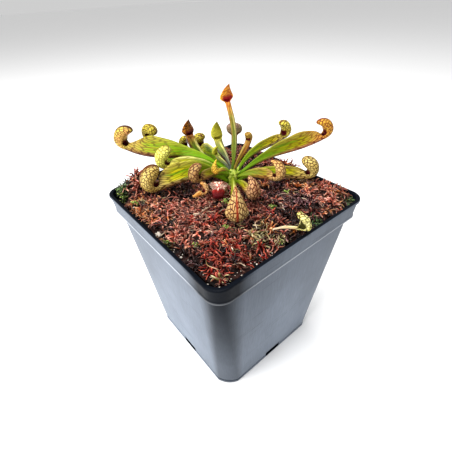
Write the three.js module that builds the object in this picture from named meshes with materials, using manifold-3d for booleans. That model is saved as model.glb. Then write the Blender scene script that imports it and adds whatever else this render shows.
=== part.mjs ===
// A parrot pitcher plant in a square nursery pot, in millimetres, +Z up.
// The origin is the middle of the pot's underside, and the pot's sides face along X and Y.
//
// The pieces: a thin moulded pot with a collar and drain slots, the peat that fills it, the carpet of
// living moss on the peat, the plant's short crown, one solid for each pitcher leaf, and three
// withered pitchers that lie on the moss.
import * as THREE from "three";
import { mergeVertices } from "three/addons/utils/BufferGeometryUtils.js";
import Module from "manifold-3d";

const wasm = await Module();
wasm.setup();

const DEGREE = Math.PI / 180;
// Separate pieces that touch keep this gap.
const GAP = 0.3;

// The pot. Widths are measured outside, from side to side.
const POT = {
  height: 95,
  rimWidth: 90,
  lipHeight: 1.3,
  lipOverhang: 0.6,
  collarHeight: 9.6,
  collarFootWidth: 87.6,
  shoulderWidth: 84.4,
  baseWidth: 69.6,
  footRing: 2,
  ringInset: 0.5,
  ringBevel: 0.4,
  rimCorner: 7,
  baseCorner: 7.8,
  cornerFlat: 0.45,
  wall: 1.2,
  floor: 1.6,
  edge: 0.2,
  cornerSteps: 5,
};
// Slots through the wall and the floor in the middle of each side, and round holes in the floor.
const DRAIN = { slotWidth: 11, slotHeight: 4.4, slotDepth: 6, holeRadius: 3, holeSpacing: 40, sides: 12 };

// The peat. Its top is uneven by crumb, in rings that are ringStep apart.
const PEAT = { top: 91, crumb: 0.7, rings: 4, ringStep: 1.7, shrink: 0.1 };
// The moss on it. The carpet's top is low at the front rim and higher at the back and middle, and
// stays underLeaf below every leaf, as far out as besideLeaf. edgeDrop rounds it off at the rim.
// The rim's edge wanders in waves, and its corners are pulled in. A sprig's notches reach notch of
// its radius, and its points and notches stand at shares of its height.
const MOSS = {
  halfWidth: 42.1,
  cornerPull: 0.09,
  cornerPower: 6,
  edgeWander: 0.35,
  wander: { alongX: 7, alongY: 5, bend: 2, bendAlongY: 9 },
  edgeDrop: 1.6,
  cells: 25,
  frontRim: 92.9,
  backRim: 95.4,
  middle: 95.8,
  rimPower: 3,
  backSpread: 1.6,
  least: 0.7,
  clump: { height: 0.9, alongX: 0.55, alongY: 0.6, phaseX: 1.7, phaseY: -0.4 },
  grain: 0.8,
  shake: 0.9,
  underLeaf: 1.2,
  besideLeaf: 2,
  sprigs: 66,
  sprigArms: 5,
  sprigRadius: [1.8, 2.9],
  sprigHeight: [1.1, 2.1],
  sprigRoot: 1.6,
  notch: 0.38,
  notchLift: 0.4,
  pointLift: 0.15,
  rimClear: 5,
  crownClear: 8,
};
// Mounds of moss that stand above the rest: place, radius and height.
const MOUNDS = [
  { x: -30, y: 39, radius: 10, height: 7.4 },
  { x: -38, y: 36, radius: 9, height: 3.0 },
  { x: -10, y: 40, radius: 12, height: 2.0 },
  { x: 41, y: 0, radius: 13, height: 4.6 },
  { x: 40, y: -32, radius: 10, height: 3.6 },
  { x: 38, y: 22, radius: 14, height: 2.4 },
  { x: -30, y: -24, radius: 11, height: 1.2 },
  { x: -4, y: -30, radius: 9, height: 1.0 },
];

// The plant's crown, from which every leaf grows.
const CROWN = { x: 8, y: 7.5, radius: 2.6, foot: 80, taper: 4, shoulder: 100.2, top: 102.6, sides: 12 };
// The crown's radius at its foot, at its neck and at its top, as shares of its full radius.
const CROWN_SHARES = { foot: 0.6, neck: 0.62, top: 0.35 };

// A pitcher lies in an upright plane through the crown. heading is that plane's direction from +X.
// The tube's centreline runs from start, [height, rise in degrees] at the crown's side, to mouth,
// [distance from the crown's axis, height, rise]. from is the start's distance where it isn't just
// clear of the crown. sway bends the tube sideways: [middle, end]. petiole and tube are half
// thicknesses. The wing stands on the tube's upper side: [height, how late it rises, how early it
// falls, lean in degrees].
// The hood turns about the mouth's inner corner by curl degrees. reach is the dome's farthest
// distance from that corner, and inner is how far the corner stands off the tube. The hood ends in a
// beak that is tip from the corner and half as thick as beak. fold is how late its inner side leaves
// the corner, and taper is how late a sharp beak narrows, both as powers.
const PITCHERS = [
  { name: "pitcher_left_long", heading: 125, start: [101.5, 40], mouth: [55.6, 109.8, 20],
    petiole: 0.85, tube: 2.4, wing: [6.6, 2.7, 1.1, -7],
    reach: 8.8, tip: 6.4, beak: 2.2, width: 7.4, curl: 188, inner: 0.6 },
  { name: "pitcher_left_back", heading: 114.5, start: [97.3, 10], mouth: [50.0, 112.0, 70],
    petiole: 0.8, tube: 2.3, wing: [2.2, 1.2, 1.0, 0],
    reach: 6.4, tip: 2.6, beak: 1.7, width: 6.6, curl: 186, inner: 0.8 },
  { name: "pitcher_back_brown", heading: 103.2, start: [99.2, 6], mouth: [27.2, 114.4, 80],
    petiole: 0.75, tube: 2.2, wing: [1.6, 2.0, 0.5, 0],
    reach: 6.2, tip: 8.2, width: 8.4, curl: 86, inner: 0.6, taper: 1.6 },
  { name: "pitcher_back_far", heading: 92.8, start: [101.1, 6], mouth: [38.5, 102.2, 25],
    petiole: 0.7, tube: 1.6, wing: [1.2, 1.2, 0.8, 0],
    reach: 5.4, tip: 3.4, beak: 1.6, width: 5.8, curl: 168, inner: 0.8 },
  { name: "pitcher_back_olive", heading: 81.2, start: [97.2, 40], mouth: [33.2, 100.9, 0],
    petiole: 0.8, tube: 2.2, wing: [4.2, 1.6, 0.8, 0],
    reach: 6.9, tip: 3.8, beak: 2.2, width: 7.2, curl: 206, inner: 0.9 },
  { name: "pitcher_back_bud", heading: 76, start: [102.3, 60], mouth: [16.0, 112.0, 62],
    petiole: 0.65, tube: 2.2, wing: [0.8, 1.0, 0.8, 0],
    reach: 6.3, tip: 8.8, width: 6.6, curl: 100, inner: 0.5, taper: 2.2 },
  { name: "pitcher_tall", heading: 88, start: [103.0, 101], mouth: [2.2, 134.2, 64],
    from: 0, petiole: 0.7, tube: 1.25, wing: [0.8, 1.0, 0.8, 0],
    reach: 4.3, tip: 7.2, width: 7.6, curl: 112, inner: 1.0, taper: 1.5 },
  { name: "pitcher_back_dusky", heading: 44, start: [99.0, 66], mouth: [12.8, 114.6, 68],
    petiole: 0.65, tube: 1.6, wing: [0.9, 1.0, 0.8, 0],
    reach: 6.6, tip: 4.4, beak: 1.8, width: 8.4, curl: 124, inner: 0.6 },
  { name: "pitcher_back_short", heading: 19, start: [102.2, 42], mouth: [16.4, 110.8, 48],
    petiole: 0.65, tube: 1.7, wing: [0.8, 1.0, 0.8, 0],
    reach: 4.4, tip: 2.6, beak: 0.9, width: 4.2, curl: 146, inner: 0.5 },
  { name: "pitcher_right_back", heading: -3, start: [100.9, 50], mouth: [32.6, 110.4, 12],
    petiole: 0.8, tube: 1.9, wing: [1.9, 1.4, 0.7, 5],
    reach: 6.8, tip: 4.6, beak: 1.8, width: 6.4, curl: 180, inner: 0.9 },
  { name: "pitcher_right_long", heading: -26, start: [99.2, 39], mouth: [46.2, 113.4, 22],
    petiole: 0.85, tube: 1.9, wing: [5.8, 2.2, 0.8, -3],
    reach: 7.0, tip: 5.2, beak: 1.6, width: 5.6, curl: 188, inner: 0.9 },
  { name: "pitcher_right_low", heading: -42.3, start: [96.9, 30], mouth: [35.6, 99.2, 0],
    petiole: 0.85, tube: 2.3, wing: [2.2, 1.2, 0.6, 4],
    reach: 6.9, tip: 4.0, beak: 3.2, width: 9.0, curl: 208, inner: 0.7 },
  { name: "pitcher_right_short", heading: -58, start: [99.2, 20], mouth: [20.2, 101.3, -6],
    petiole: 0.8, tube: 2.0, wing: [2.0, 1.2, 0.6, 0],
    reach: 6.0, tip: 5.6, beak: 0.8, width: 6.8, curl: 202, inner: 0.7, fold: 5, taper: 1.4 },
  { name: "pitcher_front_right", heading: -103.5, start: [97.4, 16], mouth: [17.0, 98.5, -12],
    petiole: 0.8, tube: 1.9, wing: [1.0, 1.2, 0.6, 0],
    reach: 6.5, tip: 6.0, beak: 0.3, width: 7.0, curl: 206, inner: 0.6, fold: 5.5, taper: 1.3 },
  { name: "pitcher_front", heading: -127.6, start: [98.9, 13], mouth: [28.2, 96.8, -6],
    petiole: 0.85, tube: 2.3, wing: [1.2, 1.2, 0.6, 0],
    reach: 8.4, tip: 9.2, width: 10.6, curl: 220, inner: 0.7, fold: 5.5, taper: 1.15 },
  { name: "pitcher_left_near", heading: 169.5, start: [100.8, 35], mouth: [17.4, 103.0, -8],
    petiole: 0.8, tube: 1.8, wing: [1.8, 1.2, 0.6, 0],
    reach: 5.8, tip: 3.9, beak: 2.1, width: 6.6, curl: 204, inner: 0.6, fold: 3.2 },
  { name: "pitcher_left_low", heading: 155, start: [97.1, 41], mouth: [36.0, 100.0, -14],
    petiole: 0.95, tube: 2.6, wing: [6.6, 1.5, 0.7, 3],
    reach: 8.6, tip: 4.6, beak: 3.9, width: 9.6, curl: 214, inner: 0.7 },
  { name: "pitcher_left_mid", heading: 140.2, start: [99.65, 43], mouth: [30.2, 105.8, -2],
    petiole: 0.85, tube: 2.1, wing: [2.4, 1.8, 0.8, 0],
    reach: 7.4, tip: 4.6, beak: 3.4, width: 7.4, curl: 196, inner: 0.8 },
  { name: "pitcher_young_near", heading: 187, start: [102.2, 38], mouth: [9.8, 105.8, 4],
    petiole: 0.5, tube: 0.9, wing: [0.4, 1, 1, 0],
    reach: 3.8, tip: 5.0, beak: 0.2, width: 4.0, curl: 166, inner: 0.4, fold: 5, taper: 1.3 },
  { name: "pitcher_young_left", heading: 113, start: [102.4, 66], mouth: [8.8, 108.6, 56],
    petiole: 0.5, tube: 1.0, wing: [0.4, 1, 1, 0],
    reach: 3.4, tip: 3.4, beak: 0.9, width: 4.2, curl: 120, inner: 0.4 },
];
// Rings along a pitcher's tube and round its hood. Pitchers narrower than smallWidth have fewer.
const PITCHER_STEPS = { tube: 9, hood: 9, smallTube: 7, smallHood: 7, smallWidth: 6.5 };
// A wing's edge is this thick, or this share of the tube's half width where the tube is thin.
const WING_THICKNESS = 0.9;
const WING_SHARE = 0.7;
// The tube reaches its full thickness at one part in this of its length.
const TUBE_SWELL = 1.15;
// Where, as a share of the hood's turn, its dome is fullest. From there on powers say how it runs out
// to the beak, how late it rounds off and how late its width does where the beak is blunt.
const DOME_AT = 0.45;
const BEAK = { outside: 1.5, roundOff: 5, roundWidth: 4, bluntFrom: 1.2, fold: 2.4, taper: 1.8 };
// The hood's rings come closer together towards the beak by this power.
const HOOD_SPACING = 1.5;
// A Bezier handle's length, as a share of the straight distance from the petiole to the mouth.
const HANDLE = 0.38;

// Withered pitchers that lie on the moss, away from the crown. foot is the place and level of the
// tube's foot, and length is the tube's. The tube rises and falls by WITHERED_BOW degrees, and is
// broad times as wide as it is tall. WITHERED_RIB is what is left of its wing.
const WITHERED_BOW = 4;
const WITHERED_RIB = [0.2, 1, 1, 0];
const WITHERED = [
  { name: "withered_red", foot: [-8.6, -1.6, 96.4], heading: 50, length: 5.2, petiole: 1.2, tube: 1.5,
    broad: 2.1, reach: 1.9, tip: 5.4, width: 9.2, curl: 262, inner: 0.4, taper: 1.2 },
  { name: "withered_ochre", foot: [-16.1, 8.2, 96.0], heading: -14, length: 4.2, petiole: 0.6, tube: 1.3,
    reach: 3.6, tip: 3.2, beak: 0.9, width: 5.2, curl: 186, inner: 0.7 },
  { name: "withered_yellow", foot: [-6.0, -33.8, 95.6], heading: -26, length: 9.2, petiole: 0.6, tube: 1.5,
    sway: [0, -3.4], reach: 4.8, tip: 3.8, beak: 1.2, width: 7.6, curl: 196, inner: 0.5 },
];

// Each seeded stream starts from its own number.
const SEED = { peat: 11, moss: 5 };

const COLOUR = {
  plastic: 0x5f6870,
  peat: 0x231a17,
  moss: 0x8f3a2b,
  crown: 0x8fae3c,
  leaf: 0x9aa93a,
  leafRed: 0xa8743c,
  withered: 0xa4563f,
};
// Pitchers whose hoods have turned brown-red.
const RED_LEAVES = ["pitcher_back_brown", "pitcher_back_dusky", "pitcher_back_short", "pitcher_tall"];

// A repeatable stream of numbers from 0 to 1.
function seeded(seed) {
  let state = seed >>> 0;
  return () => {
    state = (state * 1664525 + 1013904223) >>> 0;
    return state / 4294967296;
  };
}

function smooth(x) {
  const t = THREE.MathUtils.clamp(x, 0, 1);
  return t * t * (3 - 2 * t);
}

function standard(color, roughness) {
  return new THREE.MeshStandardMaterial({ color, roughness, metalness: 0 });
}

// A closed surface through rings of equally many points. Each end is closed to one point.
function skin(rings, firstPoint, lastPoint) {
  const around = rings[0].length;
  const points = [...rings.flat(), firstPoint, lastPoint];
  const first = points.length - 2;
  const last = points.length - 1;
  const lastRing = (rings.length - 1) * around;
  const index = [];
  for (let j = 0; j < around; j++) {
    const k = (j + 1) % around;
    index.push(first, k, j);
    for (let i = 0; i + 1 < rings.length; i++) {
      const low = i * around;
      const high = low + around;
      index.push(low + j, low + k, high + k, low + j, high + k, high + j);
    }
    index.push(last, lastRing + j, lastRing + k);
  }
  return new THREE.BufferGeometry().setFromPoints(points).setIndex(index);
}

function toSolid(geometry) {
  const bare = geometry.clone();
  bare.deleteAttribute("normal");
  bare.deleteAttribute("uv");
  const merged = mergeVertices(bare, 1e-4);
  return new wasm.Manifold(
    new wasm.Mesh({
      numProp: 3,
      vertProperties: new Float32Array(merged.attributes.position.array),
      triVerts: new Uint32Array(merged.index.array),
    }),
  );
}

function toGeometry(solid) {
  const mesh = solid.getMesh();
  return new THREE.BufferGeometry()
    .setAttribute("position", new THREE.BufferAttribute(mesh.vertProperties, 3))
    .setIndex(new THREE.BufferAttribute(mesh.triVerts, 1));
}

// The largest body of a solid, so that scraps left by a cut are dropped.
function mainBody(solid) {
  return solid.decompose().reduce((a, b) => (a.volume() > b.volume() ? a : b));
}

function named(name, geometry, material) {
  const mesh = new THREE.Mesh(geometry, material);
  mesh.name = name;
  return mesh;
}

// A square outline with round corners, counter-clockwise from above. Each corner is drawn by flat
// towards the straight line between its ends.
function roundedSquare(halfWidth, corner, z, flat = 0) {
  const steps = POT.cornerSteps;
  const centre = halfWidth - corner;
  const ring = [];
  for (const [side, [sx, sy]] of [[1, 1], [-1, 1], [-1, -1], [1, -1]].entries()) {
    const at = (share) => {
      const turn = (side + share) * 90 * DEGREE;
      const x = sx * centre + corner * Math.cos(turn);
      const y = sy * centre + corner * Math.sin(turn);
      return new THREE.Vector3(x, y, z);
    };
    const first = at(0);
    const last = at(1);
    for (let i = 0; i <= steps; i++) {
      const chord = first.clone().lerp(last, i / steps);
      ring.push(at(i / steps).lerp(chord, flat));
    }
  }
  return ring;
}

// How flat the pot's corners are at a height: most at the foot and round at the rim.
function flatAt(z) {
  return POT.cornerFlat * (1 - smooth(z / POT.height));
}

// The outside corner radius at a height on the pot.
function cornerAt(z) {
  return THREE.MathUtils.lerp(POT.baseCorner, POT.rimCorner, z / POT.height);
}

// The inside half width of the pot's body at a height below the collar.
function bodyInside(z) {
  const shoulder = POT.height - POT.collarHeight;
  const outside = THREE.MathUtils.lerp(POT.baseWidth, POT.shoulderWidth, z / shoulder) / 2;
  return outside - POT.wall;
}

function potGeometry() {
  const collarFoot = POT.height - POT.collarHeight;
  const lipFoot = POT.height - POT.lipHeight;
  const rim = POT.rimWidth / 2;
  const foot = POT.collarFootWidth / 2;
  const shoulder = POT.shoulderWidth / 2;
  const base = POT.baseWidth / 2;
  const ring = base - POT.ringInset;
  const outside = [
    [ring - POT.ringBevel, 0],
    [ring, POT.ringBevel],
    [ring, POT.footRing],
    [base + POT.edge, POT.footRing + POT.edge],
    [shoulder, collarFoot],
    [foot, collarFoot + POT.edge],
    [rim - POT.lipOverhang, lipFoot],
    [rim, lipFoot + POT.edge],
    [rim, POT.height - POT.edge],
    [rim - POT.edge, POT.height],
  ];
  const inside = [
    [rim - POT.lipOverhang - POT.wall, POT.height],
    [foot - POT.wall, collarFoot + POT.wall],
    [shoulder - POT.wall, collarFoot],
    [bodyInside(POT.floor), POT.floor],
  ];
  const rings = [
    ...outside.map(([w, z]) => roundedSquare(w, cornerAt(z), z, flatAt(z))),
    ...inside.map(([w, z]) => roundedSquare(w, cornerAt(z) - POT.wall, z, flatAt(z))),
  ];
  const under = new THREE.Vector3(0, 0, 0);
  const floor = new THREE.Vector3(0, 0, POT.floor);
  let pot = toSolid(skin(rings, under, floor));
  for (const cutter of drainCutters()) pot = pot.subtract(toSolid(cutter));
  return toGeometry(pot);
}

function drainCutters() {
  const cutters = [];
  const reach = POT.baseWidth / 2;
  for (let side = 0; side < 4; side++) {
    const turn = side * 90 * DEGREE;
    const slot = new THREE.BoxGeometry(2 * DRAIN.slotDepth, DRAIN.slotWidth, 2 * DRAIN.slotHeight);
    cutters.push(slot.translate(reach, 0, 0).rotateZ(turn));
    const { holeRadius, sides } = DRAIN;
    const hole = new THREE.CylinderGeometry(holeRadius, holeRadius, 4 * POT.floor, sides);
    const spread = DRAIN.holeSpacing / 2;
    cutters.push(hole.rotateX(90 * DEGREE).translate(spread, spread, 0).rotateZ(turn));
  }
  return cutters;
}

function peatGeometry() {
  const collarFoot = POT.height - POT.collarHeight;
  const clear = GAP + PEAT.shrink;
  const collarInside = POT.collarFootWidth / 2 - POT.wall - clear;
  const foot = POT.floor + GAP;
  const random = seeded(SEED.peat);
  const sides = [
    [bodyInside(foot) - clear, foot],
    [bodyInside(collarFoot) - clear, collarFoot],
    [collarInside, collarFoot + 2 * POT.wall],
    [collarInside, PEAT.top - PEAT.crumb / 2],
  ];
  const rings = sides.map(([w, z]) => roundedSquare(w, cornerAt(z) - POT.wall - GAP, z, flatAt(z)));
  for (let i = 0; i < PEAT.rings; i++) {
    const width = collarInside - PEAT.crumb - PEAT.ringStep * i;
    const ring = roundedSquare(width, POT.rimCorner - POT.wall - GAP, PEAT.top);
    rings.push(ring.map((p) => p.setZ(PEAT.top - PEAT.crumb * random())));
  }
  const under = new THREE.Vector3(0, 0, foot);
  const top = new THREE.Vector3(0, 0, PEAT.top - PEAT.crumb);
  return toGeometry(toSolid(skin(rings, under, top)).subtract(crownHole(CROWN.foot - GAP)));
}

// The plain hole that the crown stands in.
function crownHole(foot) {
  const radius = CROWN.radius + GAP;
  const height = 2 * (CROWN.top - foot);
  const hole = new THREE.CylinderGeometry(radius, radius, height, CROWN.sides).rotateX(90 * DEGREE);
  return toSolid(hole.translate(CROWN.x, CROWN.y, foot + height / 2));
}

// The crown's side, from its buried foot to its tip: [radius, height].
const CROWN_PROFILE = [
  [CROWN_SHARES.foot * CROWN.radius, CROWN.foot],
  [CROWN.radius, CROWN.foot + CROWN.taper],
  [CROWN.radius, CROWN.shoulder],
  [CROWN_SHARES.neck * CROWN.radius, CROWN.top - CROWN_SHARES.top * CROWN.radius],
  [CROWN_SHARES.top * CROWN.radius, CROWN.top],
];

function crownRadius(z) {
  const above = CROWN_PROFILE.findIndex(([, height]) => height >= z);
  const [r0, z0] = CROWN_PROFILE[above - 1];
  const [r1, z1] = CROWN_PROFILE[above];
  return THREE.MathUtils.mapLinear(z, z0, z1, r0, r1);
}

function crownGeometry() {
  const closed = [[0, CROWN.foot], ...CROWN_PROFILE, [0, CROWN.top]];
  const profile = closed.map(([r, z]) => new THREE.Vector2(r, z));
  const crown = new THREE.LatheGeometry(profile, CROWN.sides).rotateX(90 * DEGREE);
  return crown.translate(CROWN.x, CROWN.y, 0);
}

// One cross-section of a pitcher: an ellipse whose upper side is drawn out into the wing. Points are
// [across, up], counter-clockwise as seen from the hood's end.
const SECTION_ANGLES = [142, 185, 228, 270, 312, 355, 398];
function section({ across, high, wing, lean }) {
  const edge = Math.min(WING_THICKNESS, WING_SHARE * across) / 2;
  const shift = wing * Math.tan(lean * DEGREE);
  return [
    [shift + edge, high + wing],
    [shift - edge, high + wing],
    ...SECTION_ANGLES.map((a) => [across * Math.cos(a * DEGREE), high * Math.sin(a * DEGREE)]),
  ];
}

// The distance from the crown's axis at which a petiole ends just clear of the crown's side.
function besideCrown({ start: [z, rise], petiole }) {
  const a = rise * DEGREE;
  return crownRadius(z - petiole * Math.cos(a)) + GAP + petiole * Math.sin(a);
}

// The tube's centreline in its plane, from the petiole to the mouth.
function tubeCurve(p) {
  const [z0, rise0] = p.start;
  const [x1, z1, rise1] = p.mouth;
  const x0 = p.from ?? besideCrown(p);
  const pull = HANDLE * Math.hypot(x1 - x0, z1 - z0);
  const a = rise0 * DEGREE;
  const b = rise1 * DEGREE;
  return new THREE.CubicBezierCurve(
    new THREE.Vector2(x0, z0),
    new THREE.Vector2(x0 + pull * Math.cos(a), z0 + pull * Math.sin(a)),
    new THREE.Vector2(x1 - pull * Math.cos(b), z1 - pull * Math.sin(b)),
    new THREE.Vector2(x1, z1),
  );
}

// The wing's height at a share of the tube's length.
function wingHeight([height, late, early], share) {
  const peak = late / (late + early);
  return height * (share / peak) ** late * ((1 - share) / (1 - peak)) ** early;
}

// The stations of a pitcher: centre and up direction in its plane, shift sideways, half sizes, wing.
function pitcherStations(p) {
  const small = p.width < PITCHER_STEPS.smallWidth;
  const tubeSteps = small ? PITCHER_STEPS.smallTube : PITCHER_STEPS.tube;
  const hoodSteps = small ? PITCHER_STEPS.smallHood : PITCHER_STEPS.hood;
  const curve = tubeCurve(p);
  const [middleSway, endSway] = p.sway ?? [0, 0];
  const lean = p.wing[3];
  const broad = p.broad ?? 1;
  const stations = [];
  for (let i = 0; i < tubeSteps; i++) {
    const share = i / tubeSteps;
    const along = curve.getTangent(share);
    const size = THREE.MathUtils.lerp(p.petiole, p.tube, smooth(TUBE_SWELL * share));
    const wing = wingHeight(p.wing, share);
    const up = new THREE.Vector2(-along.y, along.x);
    const shift = 2 * share * (1 - share) * middleSway + share * share * endSway;
    const across = broad * size;
    stations.push({ centre: curve.getPoint(share), up, shift, across, high: size, wing, lean });
  }
  const origin = new THREE.Vector2();
  const down = new THREE.Vector2(0, -1).rotateAround(origin, p.mouth[2] * DEGREE);
  const corner = curve.getPoint(1).addScaledVector(down, -(p.tube + p.inner));
  for (let i = 0; i < hoodSteps; i++) {
    const share = 1 - (1 - i / hoodSteps) ** HOOD_SPACING;
    const out = down.clone().rotateAround(origin, p.curl * share * DEGREE);
    const { outer, inner, across } = hoodProfile(p, share);
    const centre = corner.clone().addScaledVector(out, (outer + inner) / 2);
    const high = (outer - inner) / 2;
    stations.push({ centre, up: out.negate(), shift: endSway, across, high, wing: 0, lean });
  }
  const beak = down.clone().rotateAround(origin, p.curl * DEGREE);
  return { stations, tip: corner.clone().addScaledVector(beak, p.tip), endSway };
}

// The hood's outer and inner distance from the mouth's corner, and its half width, at a share of
// its turn. The dome swells up to DOME_AT and then runs out to the beak, which is round if it's thick.
function hoodProfile(p, share) {
  const { beak = 0, broad = 1, fold = BEAK.fold, taper = BEAK.taper } = p;
  const { lerp } = THREE.MathUtils;
  const late = Math.max(share - DOME_AT, 0) / (1 - DOME_AT);
  const swell = smooth(share / DOME_AT);
  const dome = lerp(2 * p.tube + p.inner, p.reach, swell);
  const outside = lerp(dome, p.tip + beak, late ** BEAK.outside);
  const inside = lerp(p.inner, p.tip - beak, share ** fold);
  const middle = (outside + inside) / 2;
  const half = ((outside - inside) / 2) * Math.sqrt(1 - late ** BEAK.roundOff);
  const blunt = Math.min(beak / BEAK.bluntFrom, 1);
  const closing = lerp(1 - late ** taper, Math.sqrt(1 - late ** BEAK.roundWidth), blunt);
  const across = lerp(broad * p.tube, p.width / 2, swell) * closing;
  return { outer: middle + half, inner: middle - half, across };
}

// Carries a pitcher's sections along its stations, in the upright plane through the given axis.
function pitcherGeometry(p, axis) {
  const heading = p.heading * DEGREE;
  const out = new THREE.Vector3(Math.cos(heading), Math.sin(heading), 0);
  const side = new THREE.Vector3(-Math.sin(heading), Math.cos(heading), 0);
  const place = (v, across) =>
    axis.clone().addScaledVector(out, v.x).addScaledVector(side, across).setZ(axis.z + v.y);
  const { stations, tip, endSway } = pitcherStations(p);
  const rings = stations.map((s) =>
    section(s).map(([across, up]) =>
      place(s.centre.clone().addScaledVector(s.up, up), s.shift + across),
    ),
  );
  return skin(rings, place(stations[0].centre, 0), place(tip, endSway));
}

// A pitcher's stations as upright posts that the moss keeps below: place, radius and foot.
function footprint(p, axis) {
  const heading = p.heading * DEGREE;
  return pitcherStations(p).stations.map((s) => ({
    x: axis.x + s.centre.x * Math.cos(heading),
    y: axis.y + s.centre.x * Math.sin(heading),
    radius: s.across,
    foot: axis.z + s.centre.y - s.high,
  }));
}

const CROWN_AXIS = new THREE.Vector3(CROWN.x, CROWN.y, 0);

// A withered pitcher's own axis and shape: a short tube that lies on the moss, and its hood.
function witheredShape(w) {
  const shape = {
    ...w,
    from: 0,
    start: [w.petiole, WITHERED_BOW],
    mouth: [w.length, w.tube, -WITHERED_BOW],
    wing: WITHERED_RIB,
  };
  return { shape, axis: new THREE.Vector3(...w.foot) };
}

// The posts of every leaf, living and withered.
function clearances() {
  const posts = PITCHERS.flatMap((p) => footprint(p, CROWN_AXIS));
  for (const w of WITHERED) {
    const { shape, axis } = witheredShape(w);
    posts.push(...footprint(shape, axis));
  }
  return posts;
}

// The moss's level before grain: low at the front rim, with mounds, and pressed down under leaves.
function mossLevel(x, y, posts) {
  const edge = Math.max(Math.abs(x), Math.abs(y)) / MOSS.halfWidth;
  const back = smooth(0.5 + (x + y) / (MOSS.backSpread * MOSS.halfWidth));
  const rim = THREE.MathUtils.lerp(MOSS.frontRim, MOSS.backRim, back);
  let z = THREE.MathUtils.lerp(MOSS.middle, rim, smooth(edge ** MOSS.rimPower));
  for (const m of MOUNDS) {
    const far = Math.hypot(x - m.x, y - m.y) / m.radius;
    z += m.height * (1 - smooth(far));
  }
  const { height, alongX, alongY, phaseX, phaseY } = MOSS.clump;
  z += height * Math.sin(x * alongX + phaseX) * Math.cos(y * alongY + phaseY);
  return Math.min(z, ceiling(x, y, posts, MOSS.besideLeaf));
}

// The highest level that stays clear of the leaves at a place. It rises away from each leaf's edge.
function ceiling(x, y, posts, margin) {
  let z = Infinity;
  for (const p of posts) {
    const beyond = Math.max(Math.hypot(x - p.x, y - p.y) - p.radius - margin, 0);
    z = Math.min(z, p.foot - MOSS.underLeaf + MOSS.underLeaf * beyond);
  }
  return z;
}

// A carpet with an uneven top and a ragged edge, and with the star-shaped heads fused to it.
function mossGeometry() {
  const posts = clearances();
  const random = seeded(SEED.moss);
  const n = MOSS.cells;
  const { alongX, alongY, bend, bendAlongY } = MOSS.wander;
  const pull = (t) => Math.sqrt(1 - MOSS.cornerPull * t ** MOSS.cornerPower);
  const floor = PEAT.top + GAP;
  const points = [];
  for (let i = 0; i <= n; i++) {
    for (let j = 0; j <= n; j++) {
      const u = (2 * i) / n - 1;
      const v = (2 * j) / n - 1;
      const wave = Math.sin(alongX * u + alongY * v + bend * Math.sin(bendAlongY * v));
      const half = MOSS.halfWidth - MOSS.edgeWander * (1 + wave);
      const inside = Math.max(Math.abs(u), Math.abs(v)) < 1;
      const shake = inside ? MOSS.shake : 0;
      const x = half * u * pull(v) + shake * (random() - 0.5);
      const y = half * v * pull(u) + shake * (random() - 0.5);
      const grain = inside ? MOSS.grain * (2 * random() - 1) : -MOSS.edgeDrop;
      const z = mossLevel(x, y, posts) + grain;
      points.push(new THREE.Vector3(x, y, Math.max(z, floor + MOSS.least)));
    }
  }
  let moss = toSolid(slab(points, n, floor));
  for (const sprig of mossSprigs(posts, random)) moss = moss.add(toSolid(sprig));
  return toGeometry(mainBody(moss.subtract(crownHole(PEAT.top - 1))));
}

// A closed slab over a square grid of top points, with a flat underside at the level floor.
function slab(top, n, floor) {
  const points = [...top];
  const index = [];
  const at = (i, j) => i * (n + 1) + j;
  for (let i = 0; i < n; i++) {
    for (let j = 0; j < n; j++) {
      const [a, b, c, d] = [at(i, j), at(i + 1, j), at(i + 1, j + 1), at(i, j + 1)];
      index.push(...((i + j) % 2 ? [a, b, c, a, c, d] : [a, b, d, b, c, d]));
    }
  }
  const border = [];
  for (let i = 0; i < n; i++) border.push(at(i, 0));
  for (let j = 0; j < n; j++) border.push(at(n, j));
  for (let i = n; i > 0; i--) border.push(at(i, n));
  for (let j = n; j > 0; j--) border.push(at(0, j));
  const low = points.length;
  for (const b of border) points.push(top[b].clone().setZ(floor));
  const middle = points.length;
  points.push(new THREE.Vector3(0, 0, floor));
  border.forEach((b, k) => {
    const next = (k + 1) % border.length;
    index.push(b, low + k, low + next, b, low + next, border[next]);
    index.push(middle, low + next, low + k);
  });
  return new THREE.BufferGeometry().setFromPoints(points).setIndex(index);
}

// Star-shaped heads of moss, sunk into the carpet where no leaf is close above it.
function* mossSprigs(posts, random) {
  const [least, most] = MOSS.sprigRadius;
  const reach = MOSS.halfWidth - MOSS.rimClear;
  let made = 0;
  while (made < MOSS.sprigs) {
    const x = (2 * random() - 1) * reach;
    const y = (2 * random() - 1) * reach;
    const radius = THREE.MathUtils.lerp(least, most, random());
    const height = THREE.MathUtils.lerp(...MOSS.sprigHeight, random());
    const turn = 360 * random();
    const level = mossLevel(x, y, posts);
    const atCrown = Math.hypot(x - CROWN.x, y - CROWN.y) < MOSS.crownClear;
    const underLeaf = ceiling(x, y, posts, radius) < level + height;
    if (atCrown || underLeaf) continue;
    made++;
    yield star(x, y, level, radius, height, turn);
  }
}

// A head with drooping points round a raised middle, closed by a root below.
function star(x, y, z, radius, height, turn) {
  const ring = [];
  for (let k = 0; k < 2 * MOSS.sprigArms; k++) {
    const a = (turn + (k * 180) / MOSS.sprigArms) * DEGREE;
    const r = k % 2 ? MOSS.notch * radius : radius;
    const lift = (k % 2 ? MOSS.notchLift : MOSS.pointLift) * height;
    ring.push(new THREE.Vector3(x + r * Math.cos(a), y + r * Math.sin(a), z + lift));
  }
  const root = new THREE.Vector3(x, y, z - MOSS.sprigRoot);
  return skin([ring], root, new THREE.Vector3(x, y, z + height));
}

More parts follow.
